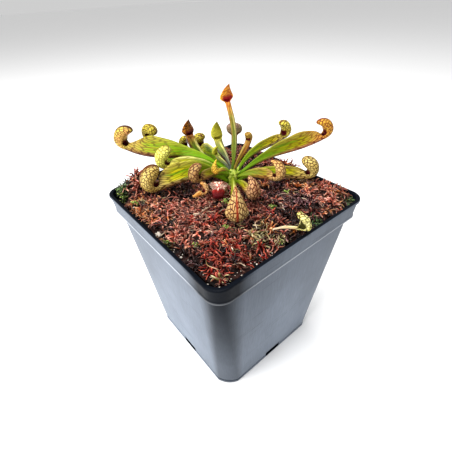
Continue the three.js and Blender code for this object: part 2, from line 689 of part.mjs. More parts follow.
const plant = new THREE.Group();
plant.name = "potted_parrot_pitcher_plant";
plant.add(named("pot", potGeometry(), standard(COLOUR.plastic, 0.45)));
plant.add(named("peat", peatGeometry(), standard(COLOUR.peat, 0.95)));
plant.add(named("moss", mossGeometry(), standard(COLOUR.moss, 0.9)));
plant.add(named("crown", crownGeometry(), standard(COLOUR.crown, 0.6)));
for (const pitcher of PITCHERS) {
  const colour = RED_LEAVES.includes(pitcher.name) ? COLOUR.leafRed : COLOUR.leaf;
  plant.add(named(pitcher.name, pitcherGeometry(pitcher, CROWN_AXIS), standard(colour, 0.5)));
}
for (const leaf of WITHERED) {
  const { shape, axis } = witheredShape(leaf);
  plant.add(named(leaf.name, pitcherGeometry(shape, axis), standard(COLOUR.withered, 0.8)));
}

export default plant;
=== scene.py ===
"""Dresses the potted parrot pitcher plant: netted pitchers, living moss, peat and a plastic pot.

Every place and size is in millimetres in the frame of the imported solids, with +Z up and the origin in
the middle of the pot's underside. Each piece is worked out on whole numpy arrays and stays where the
solid that it stands for is.
"""

import logging
from collections.abc import Callable
from dataclasses import dataclass, field, replace
from enum import Enum
from functools import partial

import bpy
import numpy as np
from mathutils import Matrix, Vector

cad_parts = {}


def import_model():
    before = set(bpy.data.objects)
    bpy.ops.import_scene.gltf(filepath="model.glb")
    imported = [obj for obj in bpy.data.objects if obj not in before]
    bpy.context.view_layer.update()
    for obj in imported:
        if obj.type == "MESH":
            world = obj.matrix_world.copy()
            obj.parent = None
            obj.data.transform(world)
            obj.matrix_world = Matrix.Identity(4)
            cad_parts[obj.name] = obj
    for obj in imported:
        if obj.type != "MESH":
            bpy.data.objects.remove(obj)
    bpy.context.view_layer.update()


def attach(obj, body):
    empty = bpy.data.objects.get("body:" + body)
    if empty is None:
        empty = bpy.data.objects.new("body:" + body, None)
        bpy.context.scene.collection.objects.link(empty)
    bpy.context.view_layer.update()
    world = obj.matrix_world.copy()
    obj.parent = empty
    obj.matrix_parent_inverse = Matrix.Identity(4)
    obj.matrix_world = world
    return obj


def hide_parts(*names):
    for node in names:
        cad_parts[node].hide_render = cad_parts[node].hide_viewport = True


MM = 0.001
BODY = "root"
LOG = logging.getLogger("potted_plant")

Array = np.ndarray
Colour = tuple[float, float, float, float]
Adder = Callable[..., bpy.types.Node]


def linear(code: str) -> Colour:
    """Turns an sRGB hex colour into linear light.

    Args:
        code: Six hex digits, with or without a leading hash.

    Returns:
        Red, green, blue and alpha from 0 to 1, by the sRGB transfer curve.
    """
    code = code.lstrip("#")
    channels = [int(code[i : i + 2], 16) / 255 for i in (0, 2, 4)]
    curve = [c / 12.92 if c <= 0.04045 else ((c + 0.055) / 1.055) ** 2.4 for c in channels]
    return (curve[0], curve[1], curve[2], 1.0)


def smooth(x: Array | float) -> Array:
    """Eases from 0 to 1 as x goes from 0 to 1: three x squared less two x cubed."""
    t = np.clip(x, 0.0, 1.0)
    return t * t * (3 - 2 * t)


def lerp(a: Array | float, b: Array | float, t: Array | float) -> Array:
    """Goes in a straight line from a at t = 0 to b at t = 1."""
    return a + (b - a) * t


def ripple(x: Array, y: Array, size: float, seed: int) -> Array:
    """A rolling field made of nine sine waves in seeded directions.

    Args:
        x: Places across.
        y: Places along.
        size: The waves' mean length.
        seed: Chooses directions and phases.

    Returns:
        Values from about -1 to 1.
    """
    draw = np.random.default_rng(seed)
    count = 9
    turn = draw.uniform(0, 2 * np.pi, count)
    phase = draw.uniform(0, 2 * np.pi, count)
    wave = 2 * np.pi / (size * draw.uniform(0.6, 1.7, count))
    total = np.zeros(np.shape(x))
    for a, p, w in zip(turn, phase, wave):
        total = total + np.sin(w * (np.cos(a) * x + np.sin(a) * y) + p)
    return total / 4.0


@dataclass
class Skin:
    """Closed surfaces as arrays, in millimetres.

    points is (n, 3), faces is (m, 3), and marks holds values for each point by name.
    """

    points: Array
    faces: Array
    marks: dict[str, Array] = field(default_factory=dict)

    @staticmethod
    def joined(parts: list["Skin"]) -> "Skin":
        """Puts several skins with the same marks into one.

        Args:
            parts: The skins.

        Returns:
            One skin that holds them all.
        """
        offsets = np.cumsum([0] + [len(p.points) for p in parts[:-1]])
        faces = np.concatenate([p.faces + o for p, o in zip(parts, offsets)])
        marks = {k: np.concatenate([p.marks[k] for p in parts]) for k in parts[0].marks}
        return Skin(np.concatenate([p.points for p in parts]), faces, marks)


def ring_faces(rings: int, around: int) -> Array:
    """Triangles of a closed stack of rings whose first and last points come after the rings.

    Ring i's point j is number i * around + j, and rings turn counter-clockwise seen from the last one.

    Args:
        rings: How many rings.
        around: Points on each ring.

    Returns:
        Point numbers, (m, 3), with faces pointing outwards.
    """
    i, j = np.meshgrid(np.arange(rings - 1), np.arange(around), indexing="ij")
    k = (j + 1) % around
    low, high = i * around, (i + 1) * around
    walls = [[low + j, low + k, high + k], [low + j, high + k, high + j]]
    sides = [np.stack(w, axis=-1).reshape(-1, 3) for w in walls]
    j = np.arange(around)
    k = (j + 1) % around
    first = np.full(around, rings * around)
    top = (rings - 1) * around
    ends = [np.stack([first, k, j], axis=-1), np.stack([first + 1, top + j, top + k], axis=-1)]
    return np.concatenate([*sides, *ends])


def lofted(rings: Array, first: Array, last: Array) -> Skin:
    """Closes a stack of rings with a point at each end.

    Args:
        rings: (rings, around, 3).
        first: The point before the first ring.
        last: The point after the last ring.

    Returns:
        The closed skin.
    """
    points = np.concatenate([rings.reshape(-1, 3), [first], [last]])
    return Skin(points, ring_faces(rings.shape[0], rings.shape[1]))


def make_piece(name: str, skin: Skin, material: bpy.types.Material) -> bpy.types.Object:
    """Puts a skin into a mesh that rides with the plant's body.

    Args:
        name: The piece's name.
        skin: Its surface and marks.
        material: Its finish.

    Returns:
        The piece, at the origin, with its place in its mesh.
    """
    mesh = bpy.data.meshes.new(name)
    count = len(skin.faces)
    mesh.vertices.add(len(skin.points))
    mesh.vertices.foreach_set("co", (skin.points * MM).astype(np.float32).ravel())
    mesh.loops.add(3 * count)
    mesh.loops.foreach_set("vertex_index", skin.faces.astype(np.int32).ravel())
    mesh.polygons.add(count)
    mesh.polygons.foreach_set("loop_start", np.arange(0, 3 * count, 3, dtype=np.int32))
    mesh.polygons.foreach_set("use_smooth", np.ones(count, dtype=bool))
    mesh.update(calc_edges=True)
    for key, values in skin.marks.items():
        mark = mesh.attributes.new(key, "FLOAT_VECTOR", "POINT")
        mark.data.foreach_set("vector", values.astype(np.float32).ravel())
    mesh.materials.append(material)
    made = bpy.data.objects.new(name, mesh)
    bpy.context.scene.collection.objects.link(made)
    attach(made, BODY)
    LOG.info("%s: %d triangles", name, count)
    return made


def add_node(
    tree: bpy.types.NodeTree, kind: str, inputs: dict | None = None, **settings: object
) -> bpy.types.Node:
    """Adds one shader node.

    Args:
        tree: Where it goes.
        kind: Its type, as it is named after ShaderNode, such as Mix.
        inputs: Its sockets by name or number, each with a value, with the output that feeds it, or with
            a node, whose first output in use feeds it.
        settings: Its properties. stops is a ramp's list of (place, colour).

    Returns:
        The node.
    """
    made = tree.nodes.new(f"ShaderNode{kind}")
    stops = settings.pop("stops", [])
    for key, value in settings.items():
        setattr(made, key, value)
    for socket, value in (inputs or {}).items():
        if isinstance(value, bpy.types.Node):
            value = next(output for output in value.outputs if output.enabled)
        if isinstance(value, bpy.types.NodeSocket):
            tree.links.new(value, made.inputs[socket])
        else:
            made.inputs[socket].default_value = value
    if stops:
        elements = made.color_ramp.elements
        while len(elements) < len(stops):
            elements.new(1.0)
        for element, (place, colour) in zip(elements, stops):
            element.position, element.color = place, colour
    return made


def new_material(name: str) -> tuple[bpy.types.Material, Adder]:
    """Makes an empty node material.

    Args:
        name: What the surface is.

    Returns:
        The material, and add_node for its tree.
    """
    material = bpy.data.materials.new(name)
    material.use_nodes = True
    material.node_tree.nodes.clear()
    return material, partial(add_node, material.node_tree)


@dataclass(frozen=True)
class PitcherFinish:
    """A waxy pitcher leaf: areoles between a net of raised veins, and a dark lining in the mouth.

    The mark net counts cells of the vein net along and around the leaf. The mark zones is how much a
    point belongs to the hood, the wing and the throat. The mark run is the share along the leaf, how
    near the keel line it is, and how near the wing's edge.
    """

    name: str
    hood: str
    blush: str
    vein: str
    wing: str
    deep: str
    under: str
    keel: str = "5a2414"
    base: str = "86a82c"
    margin: str = "d6d276"
    throat: str = "4a0a12"
    rib: str = "4a4a0c"
    net_strength: float = 0.97
    wing_net: float = 0.5
    under_net: float = 0.9
    hood_fade: float = 0.4
    roughness: float = 0.38

    def build(self) -> bpy.types.Material:
        """Makes the material.

        Returns:
            A cuticle over soft tissue: satin gloss, veins a little proud, and areoles that swell.
        """
        material, add = new_material(self.name)
        marks = [add("Attribute", attribute_name=key) for key in ("net", "zones", "run")]
        net, zones, run = (mark.outputs["Vector"] for mark in marks)
        hooded, winged, in_mouth = add("SeparateXYZ", {0: zones}).outputs
        along, on_keel, on_edge = add("SeparateXYZ", {0: run}).outputs
        # The net wanders by a third of a cell, so that no two areoles are alike.
        wander = add("TexNoise", {"Vector": net, "Scale": 0.9, "Detail": 2.0})
        shift = {0: wander.outputs["Color"], 1: (0.8, 0.8, 0.8), 2: net}
        shifted = add("VectorMath", shift, operation="MULTIPLY_ADD")
        drawing = {"feature": "DISTANCE_TO_EDGE", "voronoi_dimensions": "2D"}
        cells = add("TexVoronoi", {"Vector": shifted, "Scale": 1.0}, **drawing)
        band = {"Value": cells, "From Min": 0.05, "From Max": 0.22, "To Min": 1.0, "To Max": 0.0}
        vein = add("MapRange", band, interpolation_type="SMOOTHSTEP")
        # On the tube the net fades in from the crown to the mouth, and is strongest on the underside.
        greening = {"Value": along, "From Min": 0.05, "From Max": 0.8}
        rooted = add("MapRange", greening, interpolation_type="SMOOTHSTEP")
        sided = add("MapRange", {"Value": winged, "To Min": self.under_net, "To Max": self.wing_net})
        tube_net = add("Math", {0: rooted, 1: sided}, operation="MULTIPLY")
        # Round the hood it is strongest along the keel line and fades towards the mouth.
        around = add("SeparateXYZ", {0: net}).outputs[1]
        off_keel = add("Math", {0: around}, operation="ABSOLUTE")
        fade = {"Value": off_keel, "From Min": 3.0, "From Max": 7.0, "To Min": 1.0, "To Max": self.hood_fade}
        outer = add("MapRange", fade)
        hood_net = add("Math", {0: outer, 1: self.net_strength}, operation="MULTIPLY")
        strength = add("MapRange", {"Value": hooded, "To Min": tube_net, "To Max": hood_net})
        shown = add("Math", {0: vein, 1: strength}, operation="MULTIPLY")
        # Patches of blush a few cells wide.
        patches = add("TexNoise", {"Vector": net, "Scale": 0.28, "Detail": 3.0})
        blush = add("MapRange", {"Value": patches, "From Min": 0.36, "From Max": 0.62, "To Max": 0.95})
        blush = add("Math", {0: blush, 1: outer}, operation="MULTIPLY")
        # Lengthwise streaks: the wing is deep green between yellow-green veins, more so near the crown.
        drawn = add("VectorMath", {0: net, 1: (0.13, 0.75, 1.0)}, operation="MULTIPLY")
        streak = add("TexNoise", {"Vector": drawn, "Scale": 1.0, "Detail": 4.0})
        ripe = add("Math", {0: along, 1: 0.32, 2: -0.2}, operation="MULTIPLY_ADD")
        aged = add("Math", {0: streak, 1: ripe}, operation="ADD")
        streaked = add("MapRange", {"Value": aged, "From Min": 0.4, "From Max": 0.56})
        # Veins are olive near the crown and red-brown outwards.
        browned = add("MapRange", {"Value": along, "From Min": 0.25, "From Max": 0.85})

        blade = add("Mix", {0: streaked, 6: linear(self.deep), 7: linear(self.wing)}, data_type="RGBA")
        edged = add("Mix", {0: on_edge, 6: blade, 7: linear(self.margin)}, data_type="RGBA")
        green = add("Mix", {0: winged, 6: linear(self.under), 7: edged}, data_type="RGBA")
        tube = add("Mix", {0: rooted, 6: linear(self.base), 7: green}, data_type="RGBA")
        dome = add("Mix", {0: blush, 6: linear(self.hood), 7: linear(self.blush)}, data_type="RGBA")
        leaf = add("Mix", {0: hooded, 6: tube, 7: dome}, data_type="RGBA")
        veins = add("Mix", {0: browned, 6: linear(self.rib), 7: linear(self.vein)}, data_type="RGBA")
        netted = add("Mix", {0: shown, 6: leaf, 7: veins}, data_type="RGBA")
        # The dark keel line: the leaf's red keel, and painted shade along the tube's lower contour where it
        # is broad.
        keeled = add("Mix", {0: on_keel, 6: netted, 7: linear(self.keel)}, data_type="RGBA")
        lined = add("Mix", {0: in_mouth, 6: keeled, 7: linear(self.throat)}, data_type="RGBA")

        grain = add("TexNoise", {"Vector": net, "Scale": 7.0, "Detail": 2.0})
        relief = add("Math", {0: cells, 1: 0.9, 2: grain}, operation="MULTIPLY_ADD")
        bump = add("Bump", {"Height": relief, "Strength": 0.35, "Distance": 0.25 * MM})
        surface = {
            "Base Color": lined,
            "Normal": bump,
            "Roughness": self.roughness,
            "IOR": 1.45,
            "Specular IOR Level": 0.1,
            "Subsurface Weight": 0.05,
            "Subsurface Radius": (1.0, 0.6, 0.2),
            "Subsurface Scale": 0.5 * MM,
        }
        add("OutputMaterial", {"Surface": add("BsdfPrincipled", surface)})
        return material


class Tone(Enum):
    """The colourings that the leaves have, from fresh green to scorched and dead."""

    GOLD = PitcherFinish(
        "pitcher_gold", "cdb84e", "d29058", "40110a", "938e0a", "72ab07", "95613a", keel="401612",
        base="6e9a10", margin="a0992c", wing_net=0.66, under_net=1.0,
    )
    HONEY = PitcherFinish(
        "pitcher_honey", "ecd048", "e0b03c", "8a4a1c", "b0a428", "8a9420", "c49a50", rib="7a6a1c",
    )
    LIME = PitcherFinish(
        "pitcher_lime", "ebed74", "dddc5d", "5c3214", "a7a818", "678b0c", "c4ae58", base="74961a",
        net_strength=0.85,
    )
    OLIVE = PitcherFinish(
        "pitcher_olive", "c6b640", "b09f33", "42220e", "8e990f", "54810e", "968538", base="678f12",
    )
    BUTTER = PitcherFinish(
        "pitcher_butter", "d2ba6c", "bfa150", "38180a", "c6be17", "729e12", "bf9c62", keel="54280f",
        base="6e9414", margin="b0a43c", wing_net=0.66, under_net=1.0, hood_fade=0.75,
    )
    LEMON = PitcherFinish(
        "pitcher_lemon", "e2d559", "cfb842", "38180a", "b7a510", "6b8f0d", "bf9c62", keel="54280f",
        base="6e9414", margin="b0a43c", wing_net=0.66, under_net=1.0, hood_fade=0.75,
    )
    CREAM = PitcherFinish(
        "pitcher_cream", "c4a86c", "bb8d56", "40140a", "94831f", "6b7a14", "b68543", keel="861a10",
        base="7c8c1c",
    )
    WHEAT = PitcherFinish(
        "pitcher_wheat", "dab774", "d39f59", "54200f", "958410", "62740c", "a8743a", base="6e8416",
        margin="a89440", net_strength=0.9, wing_net=0.6,
    )
    TAN = PitcherFinish(
        "pitcher_tan", "c7a270", "b67c56", "461610", "928614", "60720f", "a87c44", base="6e8c16",
        margin="a09a3c", wing_net=0.6,
    )
    FAWN = PitcherFinish(
        "pitcher_fawn", "af985c", "a07446", "40140f", "8a8418", "5c6c10", "8f6a3c", base="6e8c16",
        margin="988c3a", wing_net=0.6,
    )
    AMBER = PitcherFinish(
        "pitcher_amber", "d0a53b", "c88430", "64200f", "a09609", "538009", "c37d5b", keel="6a2414",
        base="648a15", rib="3c4a0a", margin="a09030", wing_net=0.66, under_net=0.95,
    )
    EMBER = PitcherFinish(
        "pitcher_ember", "f0a835", "dc7e27", "7a220f", "7e7a2c", "586820", "8a7438", base="5e7424",
        throat="8c141c", margin="a8a05c", net_strength=0.6, wing_net=0.3, rib="4c4a18",
    )
    HAZEL = PitcherFinish(
        "pitcher_hazel", "c4a44a", "b08438", "5a2010", "b07432", "965922", "a8612d", base="846d25",
        throat="5a0c12", margin="b49a4c", net_strength=0.6, wing_net=0.3, rib="6a4a18",
    )
    RUST = PitcherFinish(
        "pitcher_rust", "af721a", "894914", "300c0a", "7f8a22", "53701a", "7c4a34", base="688218",
    )
    DUSK = PitcherFinish(
        "pitcher_dusk", "a69a6a", "86685f", "341212", "848f2c", "587422", "7c3a48", base="6c8428",
        net_strength=0.7,
    )
    BUD = PitcherFinish(
        "pitcher_bud", "bab135", "9c9b2a", "7a7a22", "77723c", "687c21", "726a63", keel="7f8a2c",
        base="64685d", net_strength=0.6,
    )
    DEAD_RED = PitcherFinish(
        "withered_red_leaf", "f5e2cc", "eec1ab", "9a2c22", "8c1c1a", "5c1012", "701416", base="4c0c10",
        rib="4a1010", margin="a8322c", throat="7a2a26", roughness=0.4,
    )
    DEAD_OCHRE = PitcherFinish(
        "withered_ochre_leaf", "e0c894", "d08a3c", "8a5624", "c8903c", "b0702c", "bf803a", base="c48a44",
        margin="d8b478", rib="8a5a28", roughness=0.65,
    )
    DEAD_YELLOW = PitcherFinish(
        "withered_yellow_leaf", "eadf96", "d6cc70", "3c3614", "d8c48c", "bca870", "d0b890", base="d8c0a0",
        margin="e0cfa0", rib="8a7448", throat="34300f", roughness=0.7,
    )


@dataclass(frozen=True)
class Pitcher:
    """One pitcher leaf, by the same measures as its solid.

    It lies in an upright plane through axis, along heading, in degrees from +X. start is the height
    and rise at the crown, and mouth is the distance out, height and rise where the hood begins. sway
    bends the tube sideways at its middle and end. petiole and tube are half thicknesses. wing is its
    height, how late it rises, how early it falls and its lean. The hood turns by curl degrees about
    the mouth's inner corner, which stands inner off the tube. Its dome reaches reach from that corner
    and is width across. It ends in a beak that is tip from the corner and half as thick as beak, and
    fold is how late its inner side leaves the corner. taper is how late it narrows where the beak is
    pointed, mouth_tint is how dark its mouth is, and keel is how broad the dark line under its tube
    is. The tube is broad times as wide as it is tall.
    """

    name: str
    heading: float
    start: tuple[float, float]
    mouth: tuple[float, float, float]
    petiole: float
    tube: float
    wing: tuple[float, float, float, float]
    reach: float
    tip: float
    width: float
    curl: float
    inner: float
    tone: Tone
    beak: float = 0.0
    fold: float = 2.4
    taper: float = 1.8
    broad: float = 1.0
    mouth_tint: float = 1.0
    # A broad keel is partly painted shade along the tube's lower contour.
    keel: float = 0.05
    sway: tuple[float, float] = (0.0, 0.0)
    begin: float | None = None
    axis: tuple[float, float, float] = (8.0, 7.5, 0.0)
    crinkle: float = 0.0
    seed: int = 0


# The wing's root as a share of a half turn from the keel, and its edge's thickness.
ROOT = 128 / 180
WING_EDGE = 0.9
# The dome's share of the hood's turn, and the Bezier handles' share of the tube's length.
DOME_AT = 0.45
HANDLE = 0.38
# The solid's coarse sections cut inside their own curve, so the fine ones are drawn in as far.
DRAWN_IN = 0.955
# The vein net is a little larger than its cells say, and finer on hoods no wider than YOUNG_WIDTH.
NET_SCALE = 1.12
YOUNG_NET_SCALE = 0.7
YOUNG_WIDTH = 5


def half_turn_shares() -> Array:
    """Places round a pitcher's section, from just after -1 to 1, with 0 on the keel and 1 on top."""
    lower = np.linspace(0, ROOT, 13)
    upper = np.linspace(ROOT, 1, 11)[1:]
    half = np.concatenate([lower, upper])
    return np.concatenate([-half[-2:0:-1], half])


def section(across: Array, high: Array, wing: Array, lean: float) -> Array:
    """Sections of a pitcher: an ellipse whose upper side is drawn out into the wing.

    Below the wing's root, a share a of a half turn from the keel lies at (across sin, -high cos) of
    that turn. Above it, the side runs in a hollow curve to the wing's thin edge, which is rounded over.
    The two are blended by how tall the wing is.

    Args:
        across: Half widths, one for each section.
        high: Half heights.
        wing: Heights of the wing above the ellipse.
        lean: The wing's lean in degrees.

    Returns:
        (sections, around, 2): across and up.
    """
    a = half_turn_shares()[None, :]
    size, tall, fin = across[:, None], high[:, None], wing[:, None]
    x, y = size * np.sin(np.pi * a), -tall * np.cos(np.pi * a)
    s = np.clip((np.abs(a) - ROOT) / (1 - ROOT), 0, 1)
    edge = np.minimum(WING_EDGE, 0.7 * size) / 2
    root_x, root_y = size * np.sin(np.pi * ROOT), -tall * np.cos(np.pi * ROOT)
    over = np.sqrt(1 - np.clip((s - 0.9) / 0.1, 0, 1) ** 2)
    fin_x = np.sign(a) * (root_x + (edge - root_x) * (1 - (1 - s) ** 2.2)) * over
    fin_x = fin_x + fin * np.tan(np.radians(lean)) * s
    fin_y = root_y + (tall + fin - root_y) * s
    drawn = smooth(fin / (0.5 * tall)) * (s > 0)
    return np.stack([lerp(x, fin_x, drawn), lerp(y, fin_y, drawn)], axis=-1)


@dataclass
class PitcherShape:
    """Works out a pitcher's stations, and carries its sections along them.

    The net's cells are given as length along and width around. The mouth is a pocket pocket_depth of
    the hood's half height deep, at pocket_at of the hood's turn and pocket_span wide.
    """

    leaf: Pitcher
    tube_steps: int = 44
    hood_steps: int = 42
    tube_cell: tuple[float, float] = (5.5, 0.78)
    hood_cell: tuple[float, float] = (2.0, 1.15)
    pocket_depth: float = 1.15
    pocket_at: float = 0.2
    pocket_span: float = 0.17
    keel_dent: float = 0.05
    sheath_length: float = 1.1
    sheath_spread: float = 1.35

    def bezier(self, share: Array) -> tuple[Array, Array]:
        """The tube's centreline in its plane, a cubic Bezier from the crown's side to the mouth.

        Args:
            share: Shares of its length, 0 to 1.

        Returns:
            Points and unit tangents, each (n, 2): outwards and up.
        """
        leaf = self.leaf
        (z0, rise0), (x1, z1, rise1) = leaf.start, leaf.mouth
        a, b = np.radians(rise0), np.radians(rise1)
        x0 = beside_crown(leaf) if leaf.begin is None else leaf.begin
        pull = HANDLE * np.hypot(x1 - x0, z1 - z0)
        p = np.array(
            [
                [x0, z0],
                [x0 + pull * np.cos(a), z0 + pull * np.sin(a)],
                [x1 - pull * np.cos(b), z1 - pull * np.sin(b)],
                [x1, z1],
            ]
        )
        t = share[:, None]
        points = (1 - t) ** 3 * p[0] + 3 * t * (1 - t) ** 2 * p[1] + 3 * t**2 * (1 - t) * p[2] + t**3 * p[3]
        way = (1 - t) ** 2 * (p[1] - p[0]) + 2 * t * (1 - t) * (p[2] - p[1]) + t**2 * (p[3] - p[2])
        return points, way / np.linalg.norm(way, axis=1, keepdims=True)

    def stations(self) -> dict[str, Array]:
        """Where each section stands: centre, up direction, sideways shift, half sizes and wing.

        The tube thickens smoothly along the Bezier. The hood's sections fan out from the mouth's
        inner corner, closer together towards its end.

        Returns:
            Arrays by name. share is 0 to 1 along the tube and 1 to 2 round the hood.
        """
        leaf = self.leaf
        t = np.linspace(0, 1, self.tube_steps, endpoint=False)
        centre, way = self.bezier(t)
        size = lerp(leaf.petiole, leaf.tube, smooth(1.15 * t))
        height, late, early, _ = leaf.wing
        peak = late / (late + early)
        wing = height * (t / peak) ** late * ((1 - t) / (1 - peak)) ** early
        middle, end = leaf.sway
        shift = 2 * t * (1 - t) * middle + t * t * end
        up = np.stack([-way[:, 1], way[:, 0]], axis=1)

        s = 1 - (1 - np.linspace(0, 1, self.hood_steps, endpoint=False)) ** 1.5
        corner, fan = self.corner(), self.fan(s)
        outer, inner, across = self.hood(s)
        hood_centre = corner + fan * ((outer + inner) / 2)[:, None]
        return {
            "share": np.concatenate([t, 1 + s]),
            "centre": np.concatenate([centre, hood_centre]),
            "up": np.concatenate([up, -fan]),
            "shift": np.concatenate([shift, np.full(len(s), end)]),
            "across": DRAWN_IN * np.concatenate([leaf.broad * size, across]),
            "high": DRAWN_IN * np.concatenate([size, (outer - inner) / 2]),
            "wing": np.concatenate([wing, np.zeros(len(s))]),
        }

    def corner(self) -> Array:
        """The mouth's inner corner, off the tube's upper side at its end."""
        leaf = self.leaf
        return np.array(leaf.mouth[:2]) - self.fan(np.zeros(1))[0] * (leaf.tube + leaf.inner)

    def fan(self, share: Array) -> Array:
        """Directions from the mouth's corner to the hood, turning by curl from straight down the tube.

        Args:
            share: Shares of the hood's turn.

        Returns:
            (n, 2) unit directions.
        """
        turn = np.radians(self.leaf.mouth[2] - 90 + self.leaf.curl * share)
        return np.stack([np.cos(turn), np.sin(turn)], axis=1)

    def hood(self, share: Array) -> tuple[Array, Array, Array]:
        """The hood's outer and inner distance from the mouth's corner, and its half width.

        The outer side swells to the dome and runs to the beak by power 1.5, and the inner side leaves
        the corner by power fold. Towards the end the band between them closes as the square root of
        1 less late to the fifth, so that a thick beak is round and a thin one is sharp.

        Args:
            share: Shares of the hood's turn.

        Returns:
            Outer distance, inner distance and half width.
        """
        leaf = self.leaf
        late = np.clip(share - DOME_AT, 0, None) / (1 - DOME_AT)
        swell = smooth(share / DOME_AT)
        dome = lerp(2 * leaf.tube + leaf.inner, leaf.reach, swell)
        outer = lerp(dome, leaf.tip + leaf.beak, late**1.5)
        inner = lerp(leaf.inner, leaf.tip - leaf.beak, share**leaf.fold)
        middle, half = (outer + inner) / 2, (outer - inner) / 2 * np.sqrt(1 - late**5)
        blunt = min(leaf.beak / 1.2, 1.0)
        closing = lerp(1 - late**leaf.taper, np.sqrt(1 - late**4), blunt)
        return middle + half, middle - half, lerp(leaf.broad * leaf.tube, leaf.width / 2, swell) * closing

    def placed(self, flat: Array, across: Array) -> Array:
        """Puts points of the leaf's plane in their place.

        Args:
            flat: (..., 2) outwards and up.
            across: (...) sideways.

        Returns:
            (..., 3) points.
        """
        heading = np.radians(self.leaf.heading)
        out = np.array([np.cos(heading), np.sin(heading), 0])
        side = np.array([-np.sin(heading), np.cos(heading), 0])
        up = np.array([0, 0, 1.0])
        return np.array(self.leaf.axis) + flat[..., :1] * out + flat[..., 1:] * up + across[..., None] * side

    def skin(self) -> Skin:
        """The leaf's surface, with the marks net, zones and run.

        The mouth is a pocket pressed into the hood's inner side. The wing's edge rolls in slow waves.

        Returns:
            The closed skin.
        """
        leaf = self.leaf
        at = self.stations()
        share = at["share"]
        a = half_turn_shares()[None, :]
        wave = 1 + 0.05 * np.sin(9 * share + leaf.seed) + 0.03 * np.sin(23 * share + 2 * leaf.seed)
        flat = section(at["across"], at["high"], at["wing"] * wave, leaf.wing[3])
        hooded = np.clip(share - 1, 0, None)[:, None]
        inside = smooth((np.abs(a) - 0.62) / 0.3)
        pocket = inside * np.exp(-(((hooded - self.pocket_at) / self.pocket_span) ** 2)) * (hooded > 0)
        flat[..., 1] -= self.pocket_depth * at["high"][:, None] * pocket
        keel = np.exp(-((a / 0.07) ** 2)) * smooth(hooded / 0.3)
        flat[..., 1] -= self.keel_dent * at["high"][:, None] * keel
        if leaf.crinkle:
            n = ripple(12 * share[:, None] + 0 * a, 6 * a + 0 * share[:, None], 1.6, leaf.seed + 3)
            flat *= (1 + leaf.crinkle * n)[..., None]
        centre = at["centre"][:, None, :] + flat[..., 1:] * at["up"][:, None, :]
        rings = self.placed(centre, at["shift"][:, None] + flat[..., 0])
        if leaf.begin is None:
            # The leaf's base broadens into a sheath that clasps the crown.
            way = rings[0].mean(axis=0) - rings[1].mean(axis=0)
            way /= np.linalg.norm(way)
            middle = rings[0].mean(axis=0)
            clasp = middle + way * self.sheath_length + (rings[0] - middle) * self.sheath_spread
            rings = np.concatenate([clasp[None], rings])
            share = np.concatenate([[-0.02], share])
        ends = [rings[0].mean(axis=0), self.tip_point()]
        skin = lofted(rings, *ends)
        skin.marks = self.marks(rings, share, a)
        return skin

    def tip_point(self) -> Array:
        """The beak's point."""
        flat = self.corner() + self.fan(np.ones(1))[0] * self.leaf.tip
        return self.placed(flat, np.array(self.leaf.sway[1]))

    def marks(self, rings: Array, share: Array, a: Array) -> dict[str, Array]:
        """The values that the finish reads at each point.

        A net cell is long on the tube and shorter on the hood, so the arc length along the keel and
        round the section is divided by a cell size that changes from one to the other.

        Args:
            rings: (rings, around, 3) points.
            share: The rings' shares.
            a: (1, around) places round the section.

        Returns:
            net, zones and run, each (points, 3), with a row for each of the two end points.
        """
        middle = a.shape[1] // 2 - 1
        hooded = smooth((share - 0.78) / 0.34)
        keel_line = rings[:, middle]
        step = np.linalg.norm(np.diff(keel_line, axis=0, prepend=keel_line[:1]), axis=1)
        scale = NET_SCALE if self.leaf.width > YOUNG_WIDTH else YOUNG_NET_SCALE
        length, width = (lerp(t, h, hooded) for t, h in zip(self.tube_cell, self.hood_cell))
        along = np.cumsum(step / (scale * length))
        gap = np.linalg.norm(np.diff(rings, axis=1, prepend=rings[:, :1]), axis=2)
        arc = np.cumsum(gap, axis=1)
        arc = arc - arc[:, middle : middle + 1]
        around = arc / (scale * width)[:, None]
        shape = around.shape
        seed = float(self.leaf.seed)
        net = np.stack([np.broadcast_to(along[:, None], shape) + 17 * seed, around, np.full(shape, seed)], -1)
        hood = np.broadcast_to(hooded[:, None], shape)
        wing = smooth((np.abs(a) - 0.44) / 0.28) * (1 - hood)
        inside = smooth((np.abs(a) - 0.66) / 0.14)
        at_mouth = smooth((share - 0.97) / 0.1) * (1 - smooth((share - 1.5) / 0.25))
        zones = np.stack([hood, wing, inside * at_mouth[:, None] * self.leaf.mouth_tint], -1)
        # The dark keel line is broad under the tube, where it is partly painted shade along the lower
        # contour, and thin over the hood.
        thin = 0.035 + 0.22 * self.leaf.keel
        thick = lerp(self.leaf.keel, thin, smooth((share - 0.95) / 0.35))[:, None]
        keel = np.exp(-((a / thick) ** 4)) * smooth((share[:, None] - 0.2) / 0.4)
        edge = smooth((np.abs(a) - 0.86) / 0.08) * (1 - hood)
        run = np.stack([np.broadcast_to(share[:, None], shape), keel, edge], -1)
        made = {}
        for key, values in {"net": net, "zones": zones, "run": run}.items():
            ends = np.stack([values[0, middle], values[-1, middle]])
            made[key] = np.concatenate([values.reshape(-1, 3), ends])
        return made


